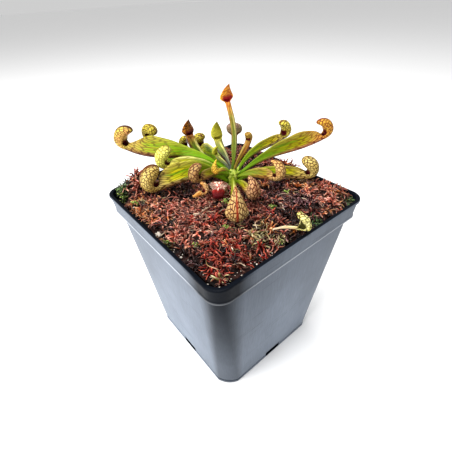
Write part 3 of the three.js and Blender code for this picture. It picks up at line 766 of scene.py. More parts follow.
@dataclass(frozen=True)
class Crown:
    """The plant's short crown: a bud among pointed green leaf bases."""

    x: float = 8.0
    y: float = 7.5
    radius: float = 2.6
    foot: float = 80.0
    taper: float = 4.0
    shoulder: float = 100.2
    top: float = 102.6
    bracts: int = 9
    bract_length: tuple[float, float] = (3.4, 5.2)
    bract_rise: tuple[float, float] = (58, 76)
    bract_width: tuple[float, float] = (0.9, 1.25)
    bract_thick: float = 0.28
    seed: int = 8

    def profile(self) -> Array:
        """The solid's side from its buried foot to its tip, (5, 2): radius and height."""
        r = self.radius
        return np.array(
            [
                [0.6 * r, self.foot],
                [r, self.foot + self.taper],
                [r, self.shoulder],
                [0.62 * r, self.top - 0.35 * r],
                [0.35 * r, self.top],
            ]
        )

    def skin(self) -> Skin:
        """A softly lobed bud and nine bracts round it.

        The bud's radius is the profile's, eased, with five shallow lobes. A bract is a pointed blade
        whose half width goes as the sine of its length, curved outwards.

        Returns:
            The closed skins.
        """
        steps = np.linspace(0, 1, 26)
        profile = self.profile()
        z = np.interp(steps, np.linspace(0, 1, 5), profile[:, 1])
        z = np.sort(np.concatenate([z, np.linspace(self.shoulder, self.top, 8)]))
        radius = np.interp(z, profile[:, 1], profile[:, 0])
        turn = np.linspace(0, 2 * np.pi, 40, endpoint=False)
        lobes = 1 - 0.08 * (1 + np.sin(5 * turn)) / 2
        rings = np.stack(
            [
                self.x + radius[:, None] * np.cos(turn) * lobes,
                self.y + radius[:, None] * np.sin(turn) * lobes,
                np.broadcast_to(z[:, None], (len(z), len(turn))),
            ],
            axis=-1,
        )
        foot, tip = [self.x, self.y, self.foot], [self.x, self.y, self.top + 0.25]
        parts = [lofted(rings, np.array(foot), np.array(tip))]
        draw = np.random.default_rng(self.seed)
        for k in range(self.bracts):
            heading = np.radians(k * 360 / self.bracts + draw.uniform(-8, 8))
            limits = (self.bract_length, self.bract_rise, self.bract_width)
            parts.append(self.bract(heading, *(draw.uniform(*between) for between in limits)))
        return Skin.joined(parts)

    def bract(self, heading: float, length: float, rise: float, width: float) -> Skin:
        """One pointed leaf base against the crown.

        Args:
            heading: Its direction from +X, in radians.
            length: Its length.
            rise: Its rise in degrees.
            width: Its half width.

        Returns:
            The closed skin.
        """
        t = np.linspace(0, 1, 12)[:, None]
        turn = np.linspace(0, 2 * np.pi, 12, endpoint=False)[None, :]
        half = width * np.sin(np.pi * (0.22 + 0.78 * t)) + 0.02
        a = np.radians(rise)
        out = 1.5 + length * t * np.cos(a) + 0.5 * t**2
        up = self.shoulder - 1.6 + length * t * np.sin(a)
        thick = self.bract_thick * (1 - 0.75 * t)
        across = half * np.cos(turn)
        lift = thick * np.sin(turn) + 0.25 * (across / width) ** 2
        distance = out + np.sin(a) * -lift
        z = up + np.cos(a) * lift
        c, s = np.cos(heading), np.sin(heading)
        x, y = self.x + distance * c - across * s, self.y + distance * s + across * c
        rings = np.stack([x, y, z + 0 * across], -1)
        # The rings turn clockwise seen from the tip, so they are taken the other way round.
        rings = rings[:, ::-1]
        return lofted(rings, rings[0].mean(axis=0), rings[-1].mean(axis=0) + [0, 0, 0.15])


CROWN = Crown()


def beside_crown(leaf: Pitcher) -> float:
    """The distance from the crown's axis at which a leaf's solid ends, just clear of its side."""
    a = np.radians(leaf.start[1])
    profile = CROWN.profile()
    radius = np.interp(leaf.start[0] - leaf.petiole * np.cos(a), profile[:, 1], profile[:, 0])
    return float(radius + 0.3 + leaf.petiole * np.sin(a))


LEAVES = (
    Pitcher(
        "pitcher_left_long", 125, (101.5, 40), (55.6, 109.8, 20), 0.85, 2.4, (6.6, 2.7, 1.1, -7),
        8.8, 6.4, 7.4, 188, 0.6, Tone.GOLD, beak=2.2, keel=0.5, seed=1,
    ),
    Pitcher(
        "pitcher_left_back", 114.5, (97.3, 10), (50, 112, 70), 0.8, 2.3, (2.2, 1.2, 1, 0),
        6.4, 2.6, 6.6, 186, 0.8, Tone.OLIVE, beak=1.7, seed=2,
    ),
    Pitcher(
        "pitcher_back_brown", 103.2, (99.2, 6), (27.2, 114.4, 80), 0.75, 2.2, (1.6, 2, 0.5, 0),
        6.2, 8.2, 8.4, 86, 0.6, Tone.RUST, taper=1.6, seed=3,
    ),
    Pitcher(
        "pitcher_back_far", 92.8, (101.1, 6), (38.5, 102.2, 25), 0.7, 1.6, (1.2, 1.2, 0.8, 0),
        5.4, 3.4, 5.8, 168, 0.8, Tone.OLIVE, beak=1.6, seed=4,
    ),
    Pitcher(
        "pitcher_back_olive", 81.2, (97.2, 40), (33.2, 100.9, 0), 0.8, 2.2, (4.2, 1.6, 0.8, 0),
        6.9, 3.8, 7.2, 206, 0.9, Tone.OLIVE, beak=2.2, seed=5,
    ),
    Pitcher(
        "pitcher_back_bud", 76, (102.3, 60), (16, 112, 62), 0.65, 2.2, (0.8, 1, 0.8, 0),
        6.3, 8.8, 6.6, 100, 0.5, Tone.BUD, taper=2.2, mouth_tint=0.25, seed=6,
    ),
    Pitcher(
        "pitcher_tall", 88, (103, 101), (2.2, 134.2, 64), 0.7, 1.25, (0.8, 1, 0.8, 0),
        4.3, 7.2, 7.6, 112, 1, Tone.EMBER, taper=1.5, begin=0.0, seed=7,
    ),
    Pitcher(
        "pitcher_back_dusky", 44, (99, 66), (12.8, 114.6, 68), 0.65, 1.6, (0.9, 1, 0.8, 0),
        6.6, 4.4, 8.4, 124, 0.6, Tone.DUSK, beak=1.8, seed=8,
    ),
    Pitcher(
        "pitcher_back_short", 19, (102.2, 42), (16.4, 110.8, 48), 0.65, 1.7, (0.8, 1, 0.8, 0),
        4.4, 2.6, 4.2, 146, 0.5, Tone.HAZEL, beak=0.9, seed=9,
    ),
    Pitcher(
        "pitcher_right_back", -3, (100.9, 50), (32.6, 110.4, 12), 0.8, 1.9, (1.9, 1.4, 0.7, 5),
        6.8, 4.6, 6.4, 180, 0.9, Tone.LEMON, beak=1.8, keel=0.3, seed=10,
    ),
    Pitcher(
        "pitcher_right_long", -26, (99.2, 39), (46.2, 113.4, 22), 0.85, 1.9, (5.8, 2.2, 0.8, -3),
        7, 5.2, 5.6, 188, 0.9, Tone.AMBER, beak=1.6, keel=0.38, seed=11,
    ),
    Pitcher(
        "pitcher_right_low", -42.3, (96.9, 30), (35.6, 99.2, 0), 0.85, 2.3, (2.2, 1.2, 0.6, 4),
        6.9, 4, 9, 208, 0.7, Tone.BUTTER, beak=3.2, seed=12,
    ),
    Pitcher(
        "pitcher_right_short", -58, (99.2, 20), (20.2, 101.3, -6), 0.8, 2, (2, 1.2, 0.6, 0),
        6, 5.6, 6.8, 202, 0.7, Tone.WHEAT, beak=0.8, fold=5, taper=1.4, seed=13,
    ),
    Pitcher(
        "pitcher_front_right", -103.5, (97.4, 16), (17, 98.5, -12), 0.8, 1.9, (1, 1.2, 0.6, 0),
        6.5, 6, 7, 206, 0.6, Tone.TAN, beak=0.3, fold=5.5, taper=1.3, seed=14,
    ),
    Pitcher(
        "pitcher_front", -127.6, (98.9, 13), (28.2, 96.8, -6), 0.85, 2.3, (1.2, 1.2, 0.6, 0),
        8.4, 9.2, 10.6, 220, 0.7, Tone.CREAM, fold=5.5, taper=1.15, seed=15,
    ),
    Pitcher(
        "pitcher_left_near", 169.5, (100.8, 35), (17.4, 103, -8), 0.8, 1.8, (1.8, 1.2, 0.6, 0),
        5.8, 3.9, 6.6, 204, 0.6, Tone.FAWN, beak=2.1, fold=3.2, seed=16,
    ),
    Pitcher(
        "pitcher_left_low", 155, (97.1, 41), (36, 100, -14), 0.95, 2.6, (6.6, 1.5, 0.7, 3),
        8.6, 4.6, 9.6, 214, 0.7, Tone.BUTTER, beak=3.9, keel=0.4, seed=17,
    ),
    Pitcher(
        "pitcher_left_mid", 140.2, (99.65, 43), (30.2, 105.8, -2), 0.85, 2.1, (2.4, 1.8, 0.8, 0),
        7.4, 4.6, 7.4, 196, 0.8, Tone.LIME, beak=3.4, seed=18,
    ),
    Pitcher(
        "pitcher_young_near", 187, (102.2, 38), (9.8, 105.8, 4), 0.5, 0.9, (0.4, 1, 1, 0),
        3.8, 5, 4, 166, 0.4, Tone.HONEY, beak=0.2, fold=5, taper=1.3, mouth_tint=0.3, seed=19,
    ),
    Pitcher(
        "pitcher_young_left", 113, (102.4, 66), (8.8, 108.6, 56), 0.5, 1, (0.4, 1, 1, 0),
        3.4, 3.4, 4.2, 120, 0.4, Tone.BUD, beak=0.9, mouth_tint=0.2, seed=20,
    ),
)
WITHERED = (
    Pitcher(
        "withered_red", 50, (1.2, 4), (5.2, 1.5, -4), 1.2, 1.5, (0.2, 1, 1, 0),
        1.9, 5.4, 9.2, 262, 0.4, Tone.DEAD_RED,
        taper=1.2, broad=2.1, mouth_tint=0.0, begin=0.0, axis=(-8.6, -1.6, 96.4), crinkle=0.07, seed=21,
    ),
    Pitcher(
        "withered_ochre", -14, (0.6, 4), (4.2, 1.3, -4), 0.6, 1.3, (0.2, 1, 1, 0),
        3.6, 3.2, 5.2, 186, 0.7, Tone.DEAD_OCHRE,
        beak=0.9, begin=0.0, axis=(-16.1, 8.2, 96), crinkle=0.08, seed=22,
    ),
    Pitcher(
        "withered_yellow", -26, (0.6, 4), (9.2, 1.5, -4), 0.35, 0.7, (0.2, 1, 1, 0),
        4.8, 3.8, 7.6, 196, 1.3, Tone.DEAD_YELLOW,
        beak=1.2, sway=(0, -3.1), begin=0.0, axis=(-6, -33.8, 95.6), crinkle=0.09, seed=23,
    ),
)


@dataclass(frozen=True)
class GrainFinish:
    """A natural surface in two colours that a fine noise mixes, bumped by the noise or by crumbs.

    The noise has scale cells a metre. It gives the dark colour below the first of stops and the pale
    one above the second. bump is how strong the relief is, and bump_mm how deep.
    """

    name: str
    dark: str
    pale: str
    stops: tuple[float, float]
    scale: float
    bump: float
    bump_mm: float
    roughness: float
    detail: float = 2.0
    crumb_mm: float = 0.0
    ior: float = 1.45
    specular: float = 0.5

    def build(self) -> bpy.types.Material:
        """Makes the material.

        Returns:
            The grained surface, with crumbs of crumb_mm where it has them.
        """
        material, add = new_material(self.name)
        place = add("TexCoord").outputs["Object"]
        grain = add("TexNoise", {"Vector": place, "Scale": self.scale, "Detail": self.detail})
        colours = (linear(self.dark), linear(self.pale))
        colour = add("ValToRGB", {"Fac": grain}, stops=list(zip(self.stops, colours)))
        height = grain
        if self.crumb_mm:
            height = add("TexVoronoi", {"Vector": place, "Scale": 1 / (self.crumb_mm * MM)}, feature="F1")
        bump = add("Bump", {"Height": height, "Strength": self.bump, "Distance": self.bump_mm * MM})
        surface = {
            "Base Color": colour,
            "Normal": bump,
            "Roughness": self.roughness,
            "IOR": self.ior,
            "Specular IOR Level": self.specular,
        }
        add("OutputMaterial", {"Surface": add("BsdfPrincipled", surface)})
        return material


# Leaf tissue, fresh at the crown: bright lime with paler streaks a millimetre apart, and a wet satin skin.
LEAF_BASES = GrainFinish("fresh_leaf_base", "88a824", "d2da62", (0.35, 0.68), 700.0, 0.3, 0.2, 0.4)
# Damp peat: near-black crumbs with brown fibres, rough with a faint wet gleam.
PEAT = GrainFinish(
    "damp_peat", "0b0908", "33231b", (0.42, 0.72), 420.0, 0.8, 0.5, 0.72,
    detail=4.0, crumb_mm=1.0, ior=1.4, specular=0.25,
)
# Dead moss under the living one: the same, redder and a little coarser, and near-black, partly as painted
# shade in the gaps between the tufts.
LITTER = replace(PEAT, name="moss_litter", dark="0b0403", pale="34150d", crumb_mm=1.1)
# Expanded perlite: chalk-white glassy crumbs, matt, with grey pits 0.3 mm across.
PERLITE = GrainFinish("perlite", "8f8070", "d8cfc2", (0.3, 0.6), 1600.0, 0.6, 0.2, 0.85, ior=1.5)


@dataclass
class Rosette:
    """The living and withered pitchers and the crown that they grow from."""

    leaves: tuple[Pitcher, ...] = LEAVES
    withered: tuple[Pitcher, ...] = WITHERED
    crown: Crown = CROWN
    red: tuple[str, ...] = ("pitcher_back_brown", "pitcher_tall", "pitcher_back_short")

    def posts(self) -> Array:
        """Every leaf's stations as upright posts: x, y, radius and the height of its underside."""
        rows = []
        for leaf in (*self.leaves, *self.withered):
            shape = PitcherShape(leaf, tube_steps=9, hood_steps=9)
            at = shape.stations()
            place = shape.placed(at["centre"], at["shift"])
            rows.append(np.column_stack([place[:, 0], place[:, 1], at["across"], place[:, 2] - at["high"]]))
        return np.concatenate(rows)

    def build(self) -> None:
        """Makes one piece for each leaf, and the crown."""
        finishes = {tone: tone.value.build() for tone in Tone}
        for leaf in self.leaves:
            piece = make_piece(f"leaf_{leaf.name[8:]}", PitcherShape(leaf).skin(), finishes[leaf.tone])
            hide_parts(leaf.name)
        for leaf in self.withered:
            name = f"dry_pitcher_{leaf.name[9:]}"
            piece = make_piece(name, PitcherShape(leaf).skin(), finishes[leaf.tone])
            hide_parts(leaf.name)
        piece = make_piece("crown_leaf_bases", self.crown.skin(), LEAF_BASES.build())
        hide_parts("crown")


class MossTone(Enum):
    """Colours of the moss: each is its root colour, its middle and its tips."""

    SALMON = ("2c0804", "b4553e", "f2baa2")
    ORANGE = ("3a1005", "c4682e", "f6c494")
    RUST = ("200503", "78291c", "d29078")
    CRIMSON = ("1e0406", "84180f", "d66c52")
    PLUM = ("140506", "4a2022", "a47a7a")
    CREAM = ("4a2c20", "bc9478", "f8e8d0")
    OLIVE = ("201a0a", "7c6838", "dccc9c")
    LIME = ("223309", "7a9a2c", "dce48c")
    GREEN = ("0a140a", "324c26", "7e9854")
    # SHADE is painted shade: near-black tufts that stand for the dark gaps between the strands.
    SHADE = ("060201", "240c07", "502820")

    @property
    def number(self) -> int:
        """Its place in the list of colours."""
        return list(MossTone).index(self)


# Where each moss colour gathers: x, y, reach and strength of its patches.
PATCHES = {
    MossTone.ORANGE: ((-38, 19, 8, 1.6), (40, -3, 5, 1.6), (38, -36, 5, 1.2), (31, -17, 6, 1.2)),
    MossTone.SALMON: (
        (-31, 13, 7, 1.4), (-26, 2, 9, 1.8), (-29, -10, 8, 1.6), (-17, -36, 5, 1.4), (33, -32, 9, 1.8),
        (-26, 40, 9, 1.6),
    ),
    MossTone.CRIMSON: (
        (-19, -6, 5, 1.5), (-27, -28, 5, 2.2), (-36, -35, 6, 2.0), (-30, -33, 4, 1.8), (-20, -39, 6, 1.8),
        (38, 4, 8, 1.6), (-28, 36, 6, 1.2),
    ),
    MossTone.RUST: (
        (-17, 4, 6, 1.2), (1, -16, 7, 1.2), (-16, 40, 7, 1.2), (-14, -20, 8, 1.0), (30, 30, 14, 0.9),
    ),
    # Patches of painted shade.
    MossTone.SHADE: (
        (-23, 22, 7, 1.8), (-40, 3, 5, 1.6), (-40, -24, 5, 1.6), (-33, -40, 4, 1.6), (21, -17, 5, 1.6),
        (8, -31, 7, 1.4), (24, -38, 5, 1.2), (2, -42, 5, 1.4),
    ),
    MossTone.PLUM: ((21, -24, 7, 1.8), (15, -12, 6, 1.8)),
    MossTone.OLIVE: ((-14, -31, 5, 0.4), (-5, -38, 5, 0.35), (2, -26, 4, 0.3)),
    MossTone.GREEN: ((-38, 40, 5, 2.4), (13, -41, 4, 1.0), (41, -41, 4, 1.2)),
}
# The mix of colours everywhere else, and how much stronger than it a patch of strength 1 is.
BACKGROUND = {
    MossTone.SALMON: 0.36,
    MossTone.RUST: 0.34,
    MossTone.SHADE: 0.30,
    MossTone.PLUM: 0.12,
    MossTone.CREAM: 0.08,
    MossTone.OLIVE: 0.08,
    MossTone.ORANGE: 0.12,
    MossTone.CRIMSON: 0.06,
}
PATCH_STRENGTH = 3.0
# The pieces that the tufts are sorted into.
TUFT_GROUPS = {
    "moss_salmon": (MossTone.SALMON, MossTone.ORANGE),
    "moss_red": (MossTone.CRIMSON, MossTone.RUST),
    "moss_dark": (MossTone.SHADE, MossTone.PLUM),
    "moss_pale": (MossTone.CREAM, MossTone.OLIVE, MossTone.LIME, MossTone.GREEN),
}
# Places of green sprigs.
SPRIGS = (
    (-41.0, -8.7, MossTone.LIME),
    (-33.5, -18.5, MossTone.LIME),
    (-38.5, 41.0, MossTone.GREEN),
    (-37, 37, MossTone.GREEN),
    (-40, 33, MossTone.LIME),
    (9, -40, MossTone.GREEN),
    (16, -39.5, MossTone.GREEN),
    (-34, 25, MossTone.OLIVE),
    (-13, -34, MossTone.OLIVE),
    (-6, -39, MossTone.OLIVE),
    (40, -40, MossTone.GREEN),
)
# The stray threads' colours and their shares.
THREADS = {
    MossTone.PLUM: 0.3,
    MossTone.CREAM: 0.24,
    MossTone.SALMON: 0.2,
    MossTone.RUST: 0.16,
    MossTone.OLIVE: 0.1,
}
# The perlite crumbs that show best: x, y and radius.
CRUMBS = (
    (-41, -1.3, 1.4), (-41.3, -19, 0.5), (37, -40, 0.6),
    (-30, -41.5, 0.35), (-39.6, -40.5, 0.35), (-22, -41, 0.35),
)


@dataclass(frozen=True)
class StrandFinish:
    """Living moss: thin wet strands, coloured from root to tip by the mark tint."""

    name: str = "living_moss"
    roughness: float = 0.3

    def build(self) -> bpy.types.Material:
        """Makes the material.

        Returns:
            Tinted tissue with a fine speckle about 0.4 mm wide, and a moist gloss.
        """
        material, add = new_material(self.name)
        tint = add("Attribute", attribute_name="tint").outputs["Vector"]
        place = add("TexCoord").outputs["Object"]
        speckle = add("TexNoise", {"Vector": place, "Scale": 900.0, "Detail": 2.0})
        level = {"Value": speckle, "From Min": 0.3, "From Max": 0.7, "To Min": 0.7, "To Max": 1.25}
        colour = add("VectorMath", {0: tint, "Scale": add("MapRange", level)}, operation="SCALE")
        bump = add("Bump", {"Height": speckle, "Strength": 0.4, "Distance": 0.15 * MM})
        surface = {
            "Base Color": colour,
            "Normal": bump,
            "Roughness": self.roughness,
            "IOR": 1.4,
            "Specular IOR Level": 0.4,
        }
        add("OutputMaterial", {"Surface": add("BsdfPrincipled", surface)})
        return material


@dataclass(frozen=True)
class Growth:
    """How strands grow: ranges of reach, rise, droop and half thickness, and how much they curl."""

    reach: tuple[float, float]
    rise: tuple[float, float]
    droop: tuple[float, float]
    curl: float
    width: tuple[float, float]
    rings: int = 4


@dataclass(frozen=True)
class Mound:
    """A mound of moss above the rest: place, radius and height."""

    x: float
    y: float
    radius: float
    height: float


# Each strand of a tuft stands this far round from the last, in radians, so that none hides another.
GOLDEN_TURN = 2.399


@dataclass
class MossCarpet:
    """Living moss on the peat: a dark bed, tufts of curling strands, sprigs and perlite."""

    posts: Array
    half_width: float = 42.1
    corner: float = 5.6
    corner_pull: float = 0.09
    floor: float = 91.3
    front_rim: float = 92.9
    back_rim: float = 95.4
    middle: float = 95.8
    bed_drop: float = 1.9
    tuft_gap: float = 2.6
    arms: int = 12
    core_share: float = 0.3
    stray_share: float = 0.16
    threads: int = 420
    sprig_arms: int = 26
    loose_sprigs: int = 9
    loose_crumbs: int = 20
    rim_specks: int = 14
    scatter: float = 39.0
    corner_from: float = 34.0
    strand_levels: tuple[float, float] = (0.32, 1.2)
    # Painted shade and light on the strands: their tint in the bed's hollows and on its cushions.
    hollow_shade: float = 0.12
    cushion_light: float = 1.15
    seed: int = 41
    mounds: tuple[Mound, ...] = (
        Mound(-30, 39, 10, 7.4),
        Mound(-38, 36, 9, 3.0),
        Mound(-10, 40, 12, 2.0),
        Mound(41, 0, 13, 4.6),
        Mound(40, -32, 10, 3.6),
        Mound(38, 22, 14, 2.4),
        Mound(-30, -24, 11, 1.2),
        Mound(-4, -30, 9, 1.0),
    )

    def ceiling(self, x: Array, y: Array, margin: float, under: float) -> Array:
        """The highest level that stays clear of the leaves, rising away from each leaf's edge.

        Args:
            x: Places across.
            y: Places along.
            margin: How far beyond a leaf's edge the level holds.
            under: How far below a leaf's underside it lies.

        Returns:
            Heights.
        """
        best = np.full(np.shape(x), np.inf)
        for px, py, radius, foot in self.posts:
            beyond = np.maximum(np.hypot(x - px, y - py) - radius - margin, 0)
            best = np.minimum(best, foot - under + 1.2 * beyond)
        return best

    def level(self, x: Array, y: Array) -> Array:
        """The carpet's level before grain, as the solid has it: a rim, a raised middle and mounds."""
        edge = np.maximum(np.abs(x), np.abs(y)) / self.half_width
        back = smooth(0.5 + (x + y) / (1.6 * self.half_width))
        z = lerp(self.middle, lerp(self.front_rim, self.back_rim, back), smooth(edge**3))
        for m in self.mounds:
            z = z + m.height * (1 - smooth(np.hypot(x - m.x, y - m.y) / m.radius))
        z = z + 0.9 * np.sin(x * 0.55 + 1.7) * np.cos(y * 0.6 - 0.4)
        return np.minimum(z, self.ceiling(x, y, 2.0, 1.2))

    def lumps(self, x: Array, y: Array) -> Array:
        """How far the bed's cushions stand above its hollows, from two rolling fields."""
        return 1.15 * ripple(x, y, 7.5, 5) + 0.75 * ripple(x, y, 3.4, 6)

    def bed_level(self, x: Array, y: Array) -> Array:
        """The dark bed below the strands: the carpet's level, sunk and lumpy."""
        lumps = self.lumps(x, y) + 0.15 * ripple(x, y, 1.1, 7)
        edge = np.maximum(np.abs(x), np.abs(y)) / self.half_width
        z = self.level(x, y) - self.bed_drop + lumps - 1.2 * smooth((edge - 0.93) / 0.07)
        return np.maximum(z, self.floor + 0.5)

    def bed(self, cells: int = 150) -> Skin:
        """A closed slab: a square grid of points on the bed's level, and a flat underside.

        The grid's corners are pulled in by a sixth-power rule, as the solid's are.

        Args:
            cells: Cells along a side.

        Returns:
            The closed skin.
        """
        u, v = np.meshgrid(np.linspace(-1, 1, cells + 1), np.linspace(-1, 1, cells + 1), indexing="ij")
        half = self.half_width - 0.35 * (1 + np.sin(7 * u + 5 * v + 2 * np.sin(9 * v)))
        x = half * u * np.sqrt(1 - self.corner_pull * v**6)
        y = half * v * np.sqrt(1 - self.corner_pull * u**6)
        top = np.stack([x, y, self.bed_level(x, y)], axis=-1).reshape(-1, 3)
        under = top * [1, 1, 0] + [0, 0, self.floor]
        n = cells + 1
        i, j = np.meshgrid(np.arange(cells), np.arange(cells), indexing="ij")
        a, b, c, d = i * n + j, (i + 1) * n + j, (i + 1) * n + j + 1, i * n + j + 1
        upper = np.concatenate([np.stack(t, -1).reshape(-1, 3) for t in ([a, b, c], [a, c, d])])
        line = np.arange(n)
        border = np.concatenate([line[:-1] * n, cells * n + line[:-1], line[:0:-1] * n + cells, line[:0:-1]])
        after = np.roll(border, -1)
        low, low_after = border + n * n, after + n * n
        walls = ([border, low, low_after], [border, low_after, after])
        wall = np.concatenate([np.stack(t, -1) for t in walls])
        return Skin(np.concatenate([top, under]), np.concatenate([upper, upper[:, ::-1] + n * n, wall]))

    def tones_at(self, x: Array, y: Array, draw: np.random.Generator) -> Array:
        """Chooses a moss colour for each place, by the patches near it and a background mix.

        Args:
            x: Places across.
            y: Places along.
            draw: The seeded stream of numbers.

        Returns:
            Index of each place's MossTone.
        """
        weights = np.zeros((len(x), len(MossTone)))
        for tone, share in BACKGROUND.items():
            weights[:, tone.number] += share
        for tone, patches in PATCHES.items():
            for patch_x, patch_y, reach, strength in patches:
                far = np.hypot(x - patch_x, y - patch_y) / reach
                weights[:, tone.number] += PATCH_STRENGTH * strength * np.exp(-(far**2))
        total = np.cumsum(weights, axis=1)
        return (draw.uniform(0, 1, len(x))[:, None] * total[:, -1:] > total).sum(axis=1)

    def tinted(self, tone: Array, along: Array, draw: np.random.Generator) -> Array:
        """Colours of strands from root to tip.

        Args:
            tone: Index of each strand's MossTone.
            along: Shares along a strand.
            draw: The seeded stream of numbers.

        Returns:
            (strands, shares, 3) linear colours.
        """
        table = np.array([[linear(code)[:3] for code in tone_.value] for tone_ in MossTone])
        root, middle, tip = (table[tone][:, k][:, None, :] for k in range(3))
        t = along[None, :, None]
        # Strands run from a near-black root to a pale tip: partly their own colour, partly painted shade low
        # in the tufts.
        mixed = np.where(t < 0.5, lerp(root, middle, 2 * t), lerp(middle, tip, 2 * t - 1))
        level = draw.uniform(*self.strand_levels, (len(tone), 1, 1))
        hue = draw.uniform(0.92, 1.08, (len(tone), 1, 3))
        return mixed * level * hue

    def strands(
        self,
        base: Array,
        heading: Array,
        reach: Array,
        rise: Array,
        droop: Array,
        curl: Array,
        width: Array,
        tone: Array,
        draw: np.random.Generator,
        rings: int = 4,
    ) -> Skin:
        """Thin three-sided strands that rise from the bed, arch over and taper to a point.

        At share t, a strand is reach t outwards, rise (2t - (1 + droop) t squared) up, and
        curl t squared sideways, less a wave of a sixth of its reach. Its thickness goes as the square
        root of 1 - t. Strands that grow in a hollow of the bed are darker and those on its cushions
        lighter, as painted shade and light.

        Args:
            base: (n, 3) roots.
            heading: Directions from +X, in radians.
            reach: Lengths outwards.
            rise: Heights of the arch.
            droop: How far the tip falls back, as a share of the rise.
            curl: Sideways bends.
            width: Half thicknesses.
            tone: Index of each strand's MossTone.
            draw: The seeded stream of numbers.
            rings: Rings along each strand.

        Returns:
            All the strands as one skin, with the mark tint.
        """
        t = np.append(np.linspace(0, 0.86, rings), 1.0)
        out = np.stack([np.cos(heading), np.sin(heading)], -1)[:, None, :]
        side = np.stack([-out[..., 1], out[..., 0]], -1)
        phase = draw.uniform(0, 2 * np.pi, (len(base), 1))
        wave = reach[:, None] / 6 * (np.sin(6 * t + phase) - np.sin(phase)) * t
        flat = out * (reach[:, None] * t)[..., None] + side * (curl[:, None] * t**2 - wave)[..., None]
        z = rise[:, None] * (2 * t - (1 + droop[:, None]) * t**2)
        path = np.concatenate([base[:, None, :2] + flat, base[:, None, 2:] + z[..., None]], axis=-1)
        limit = self.ceiling(path[..., 0], path[..., 1], 0.25, 0.15)
        path[..., 2] = np.minimum(path[..., 2], limit)
        # Strands stay inside the collar, also in its round corners.
        straight = self.half_width + 0.8 - self.corner
        over = np.maximum(np.abs(path[..., :2]) - straight, 0)
        far = np.maximum(np.hypot(over[..., 0], over[..., 1]), self.corner)[..., None]
        held = np.minimum(np.abs(path[..., :2]), straight) + over * self.corner / far
        path[..., :2] = np.sign(path[..., :2]) * held
        way = np.gradient(path, axis=1)
        way /= np.linalg.norm(way, axis=-1, keepdims=True) + 1e-9
        lateral = np.cross(way, [0, 0, 1.0])
        lateral /= np.linalg.norm(lateral, axis=-1, keepdims=True) + 1e-9
        normal = np.cross(lateral, way)
        thick = (width[:, None] * np.sqrt(1 - 0.85 * t))[..., None, None]
        turn = np.radians([90, 210, 330])[:, None]
        sideways = np.cos(turn) * lateral[:, :, None, :]
        upwards = 0.8 * np.sin(turn) * normal[:, :, None, :]
        ring = path[:, :, None, :] + thick * (sideways + upwards)
        count = len(base)
        body = ring[:, :rings].reshape(count, -1, 3)
        points = np.concatenate([body, path[:, :1], path[:, -1:]], axis=1)
        # The section turns clockwise seen from the tip, so the faces are taken the other way round.
        faces = ring_faces(rings, 3)[:, ::-1]
        size = points.shape[1]
        all_faces = (faces[None] + (np.arange(count) * size)[:, None, None]).reshape(-1, 3)
        # Painted shade: strands in the bed's hollows are darkened, and those on its cushions lightened.
        raised = smooth(0.58 + 0.42 * self.lumps(base[:, 0], base[:, 1]))
        lit = lerp(self.hollow_shade, self.cushion_light, raised)
        tint = self.tinted(tone, t, draw) * lit[:, None, None]
        shades = np.concatenate([np.repeat(tint[:, :rings], 3, axis=1), tint[:, :1], tint[:, -1:]], axis=1)
        return Skin(points.reshape(-1, 3), all_faces, {"tint": shades.reshape(-1, 3)})

    def tufts(self) -> dict[str, Skin]:
        """Tufts of strands on a shaken grid, sorted into pieces by colour.

        Returns:
            Skins by the name of their piece.
        """
        draw = np.random.default_rng(self.seed)
        line = np.arange(-self.half_width + 1.2, self.half_width - 1.0, self.tuft_gap)
        x, y = (g.ravel() for g in np.meshgrid(line, line))
        x = x + draw.uniform(-1, 1, len(x)) * self.tuft_gap * 0.5
        y = y + draw.uniform(-1, 1, len(y)) * self.tuft_gap * 0.5
        # Tufts crowd on the cushions and are few in the hollows and along the front rims.
        crowd = lerp(0.4, 1.0, smooth(0.8 + 0.55 * self.lumps(x, y)))
        crowd = crowd * lerp(0.45, 1.0, smooth((np.minimum(x, y) + self.half_width - 1.0) / 4.0))
        kept = draw.uniform(0, 1, len(x)) < crowd
        kept &= np.hypot(x - CROWN.x, y - CROWN.y) > CROWN.radius + 1.5
        # The corners are cut off from corner_from on.
        wide, deep = np.abs(x), np.abs(y)
        past_x, past_y = (np.clip(v - self.corner_from, 0, None) for v in (wide, deep))
        kept &= np.maximum(wide + 0.55 * past_y, deep + 0.55 * past_x) < self.half_width + 0.6
        x, y = x[kept], y[kept]
        tone = self.tones_at(x, y, draw)
        room = self.ceiling(x, y, 0.6, 0.4) - self.bed_level(x, y)
        size = draw.uniform(0.9, 1.6, len(x)) * np.clip(room / 3.0, 0.4, 1)
        arms = np.repeat(np.arange(len(x)), self.arms)
        n = len(arms)
        order = np.tile(np.arange(self.arms), len(x))
        turned = np.repeat(draw.uniform(0, 2 * np.pi, len(x)), self.arms)
        heading = order * GOLDEN_TURN + turned + draw.normal(0, 0.35, n)
        core = draw.uniform(0, 1, n) < self.core_share
        reach = size[arms] * np.where(core, draw.uniform(0.3, 1.2, n), draw.uniform(1.4, 3.3, n))
        rise = size[arms] * np.where(core, draw.uniform(1.5, 2.6, n), draw.uniform(0.8, 2.2, n))
        spread = 0.5 * size[arms]
        root_x = x[arms] + draw.normal(0, 1, n) * spread * 0.5
        root_y = y[arms] + draw.normal(0, 1, n) * spread * 0.5
        base = np.column_stack([root_x, root_y, self.bed_level(root_x, root_y) - 0.35])
        stray = draw.uniform(0, 1, n) < self.stray_share
        mixed = np.where(stray, self.tones_at(root_x, root_y, draw), tone[arms])
        droop = draw.uniform(-0.2, 1.3, n)
        curl = draw.normal(0, 1.5, n)
        width = draw.uniform(0.3, 0.66, n)
        skins = {}
        for name, members in TUFT_GROUPS.items():
            chosen = np.isin(mixed, [m.number for m in members])
            rows = (v[chosen] for v in (base, heading, reach, rise, droop, curl, width, mixed))
            skins[name] = self.strands(*rows, draw, rings=6)
        return skins

